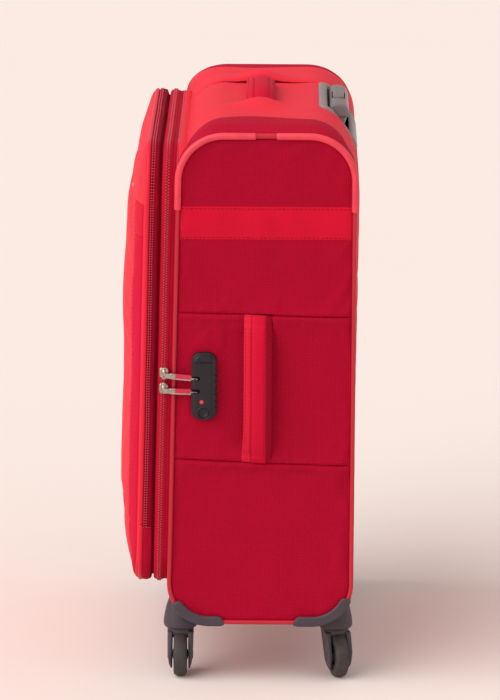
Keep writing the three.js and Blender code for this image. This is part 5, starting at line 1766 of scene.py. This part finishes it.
o = thick(grid("back_lining", np.stack([BXl, yl, BZl], -1), LINING), 1.2)
put(o, "root", "lining", "lining_panel")
P = []
for x in np.linspace(-190, 190, 90):
    sag = 1.2 * math.sin(x / 30) ** 2
    P.append([(x, 103.2 - sag, 353 + w) for w in (-13, -12.4, -6, 0, 6, 12.4, 13)])
strap = thick(grid("strap_web", np.array(P), STRAPS), 1.6)
bk = [slab("k", (0, 353, 46, 34, 6), 98.4, 101.8, SLATE, "y", 1.0, 0.6, n=6), slab("k", (0, 353, 22, 20, 4), 97.4, 99.4, SLATE, "y", 0.9, 0.3, n=6),
      slab("k", (27, 353, 12, 31, 3), 98.8, 101.6, SLATE, "y", 0.7, 0.5, n=6)]
bk = mould("k", bk, 0.7, 2)
put(join("packing_strap_web", [strap, bk]), "root", "lining", "packing_strap")

# lid's inner panel with a stitched edge and a pocket: a zip across it and two rows of stitches
t_ = np.linspace(-1, 1, 60)
U_, V_ = np.meshgrid(t_, np.linspace(-1, 1, 76), indexing="ij")
ue, ve = np.sin(U_ * math.pi / 2), np.sin(V_ * math.pi / 2)
hx_, hz_ = 205.2, 254.2
x = ue * hx_; z = ve * hz_
rr = LID_R - 5.5
dx_, dz_ = np.abs(x) - (hx_ - rr), np.abs(z) - (hz_ - rr)
both = (dx_ > 0) & (dz_ > 0)
k_ = np.where(both, np.maximum(dx_, dz_) / np.maximum(np.hypot(dx_, dz_), 1e-6), 1)
x = np.where(both, np.sign(x) * (hx_ - rr + dx_ * k_), x)
z = np.where(both, np.sign(z) * (hz_ - rr + dz_ * k_), z)
def panel_y(x, z):
    return -13.4 - 0.35 * waves(x, z, 95, 130) * (1 - (np.abs(x) / 205.3) ** 3) * (1 - (np.abs(z) / 254.3) ** 3)


y = panel_y(x, z)
o = grid("lid_inner_panel", slant(np.stack([x, y, z], -1)), LINING)
o = thick(o, 1.4)
put(o, "lid", "lining", "lid_divider")
rowsz = []
for zz0 in (60.0, -215.0):
    pts = [slant(np.array([xx, float(panel_y(np.array([xx]), np.array([zz0]))[0]) + 1.0, zz0])) for xx in np.linspace(-185, 185, 100)]
    rowsz.append(stitches("s", pts, -out_dir, STRAPS, 3.4, 1.8, 0.8, 0.4))
tz_ = teeth  # the inner zip's coil lies straight across the panel
P = np.array([[slant(np.array([xx, float(panel_y(np.array([xx]), np.array([60.0 + w]))[0]) + 1.15 + (0.5 if abs(w) < 2 else 0), 60 + w])) for w in (-7, -6, -2, 0, 2, 6, 7)] for xx in np.linspace(-188, 188, 60)])
rowsz.append(thick(grid("s", P, STRAPS), 0.7))
put(join("lid_inner_zip", rowsz), "lid", "lining")
o = ring("lid_inner_binding", [(-10.8, -4.0), (-12.2, -4.6), (-12.6, -6.6), (-12.2, -8.6)], STRAPS)
put(thick(o, 0.7), "lid", "lining")
o = ring("mouth_binding", [(-6.6, -3.6), (0, -4.9), (4.8, -5.2)], STRAPS)
put(thick(o, 0.7), "root", "lining")
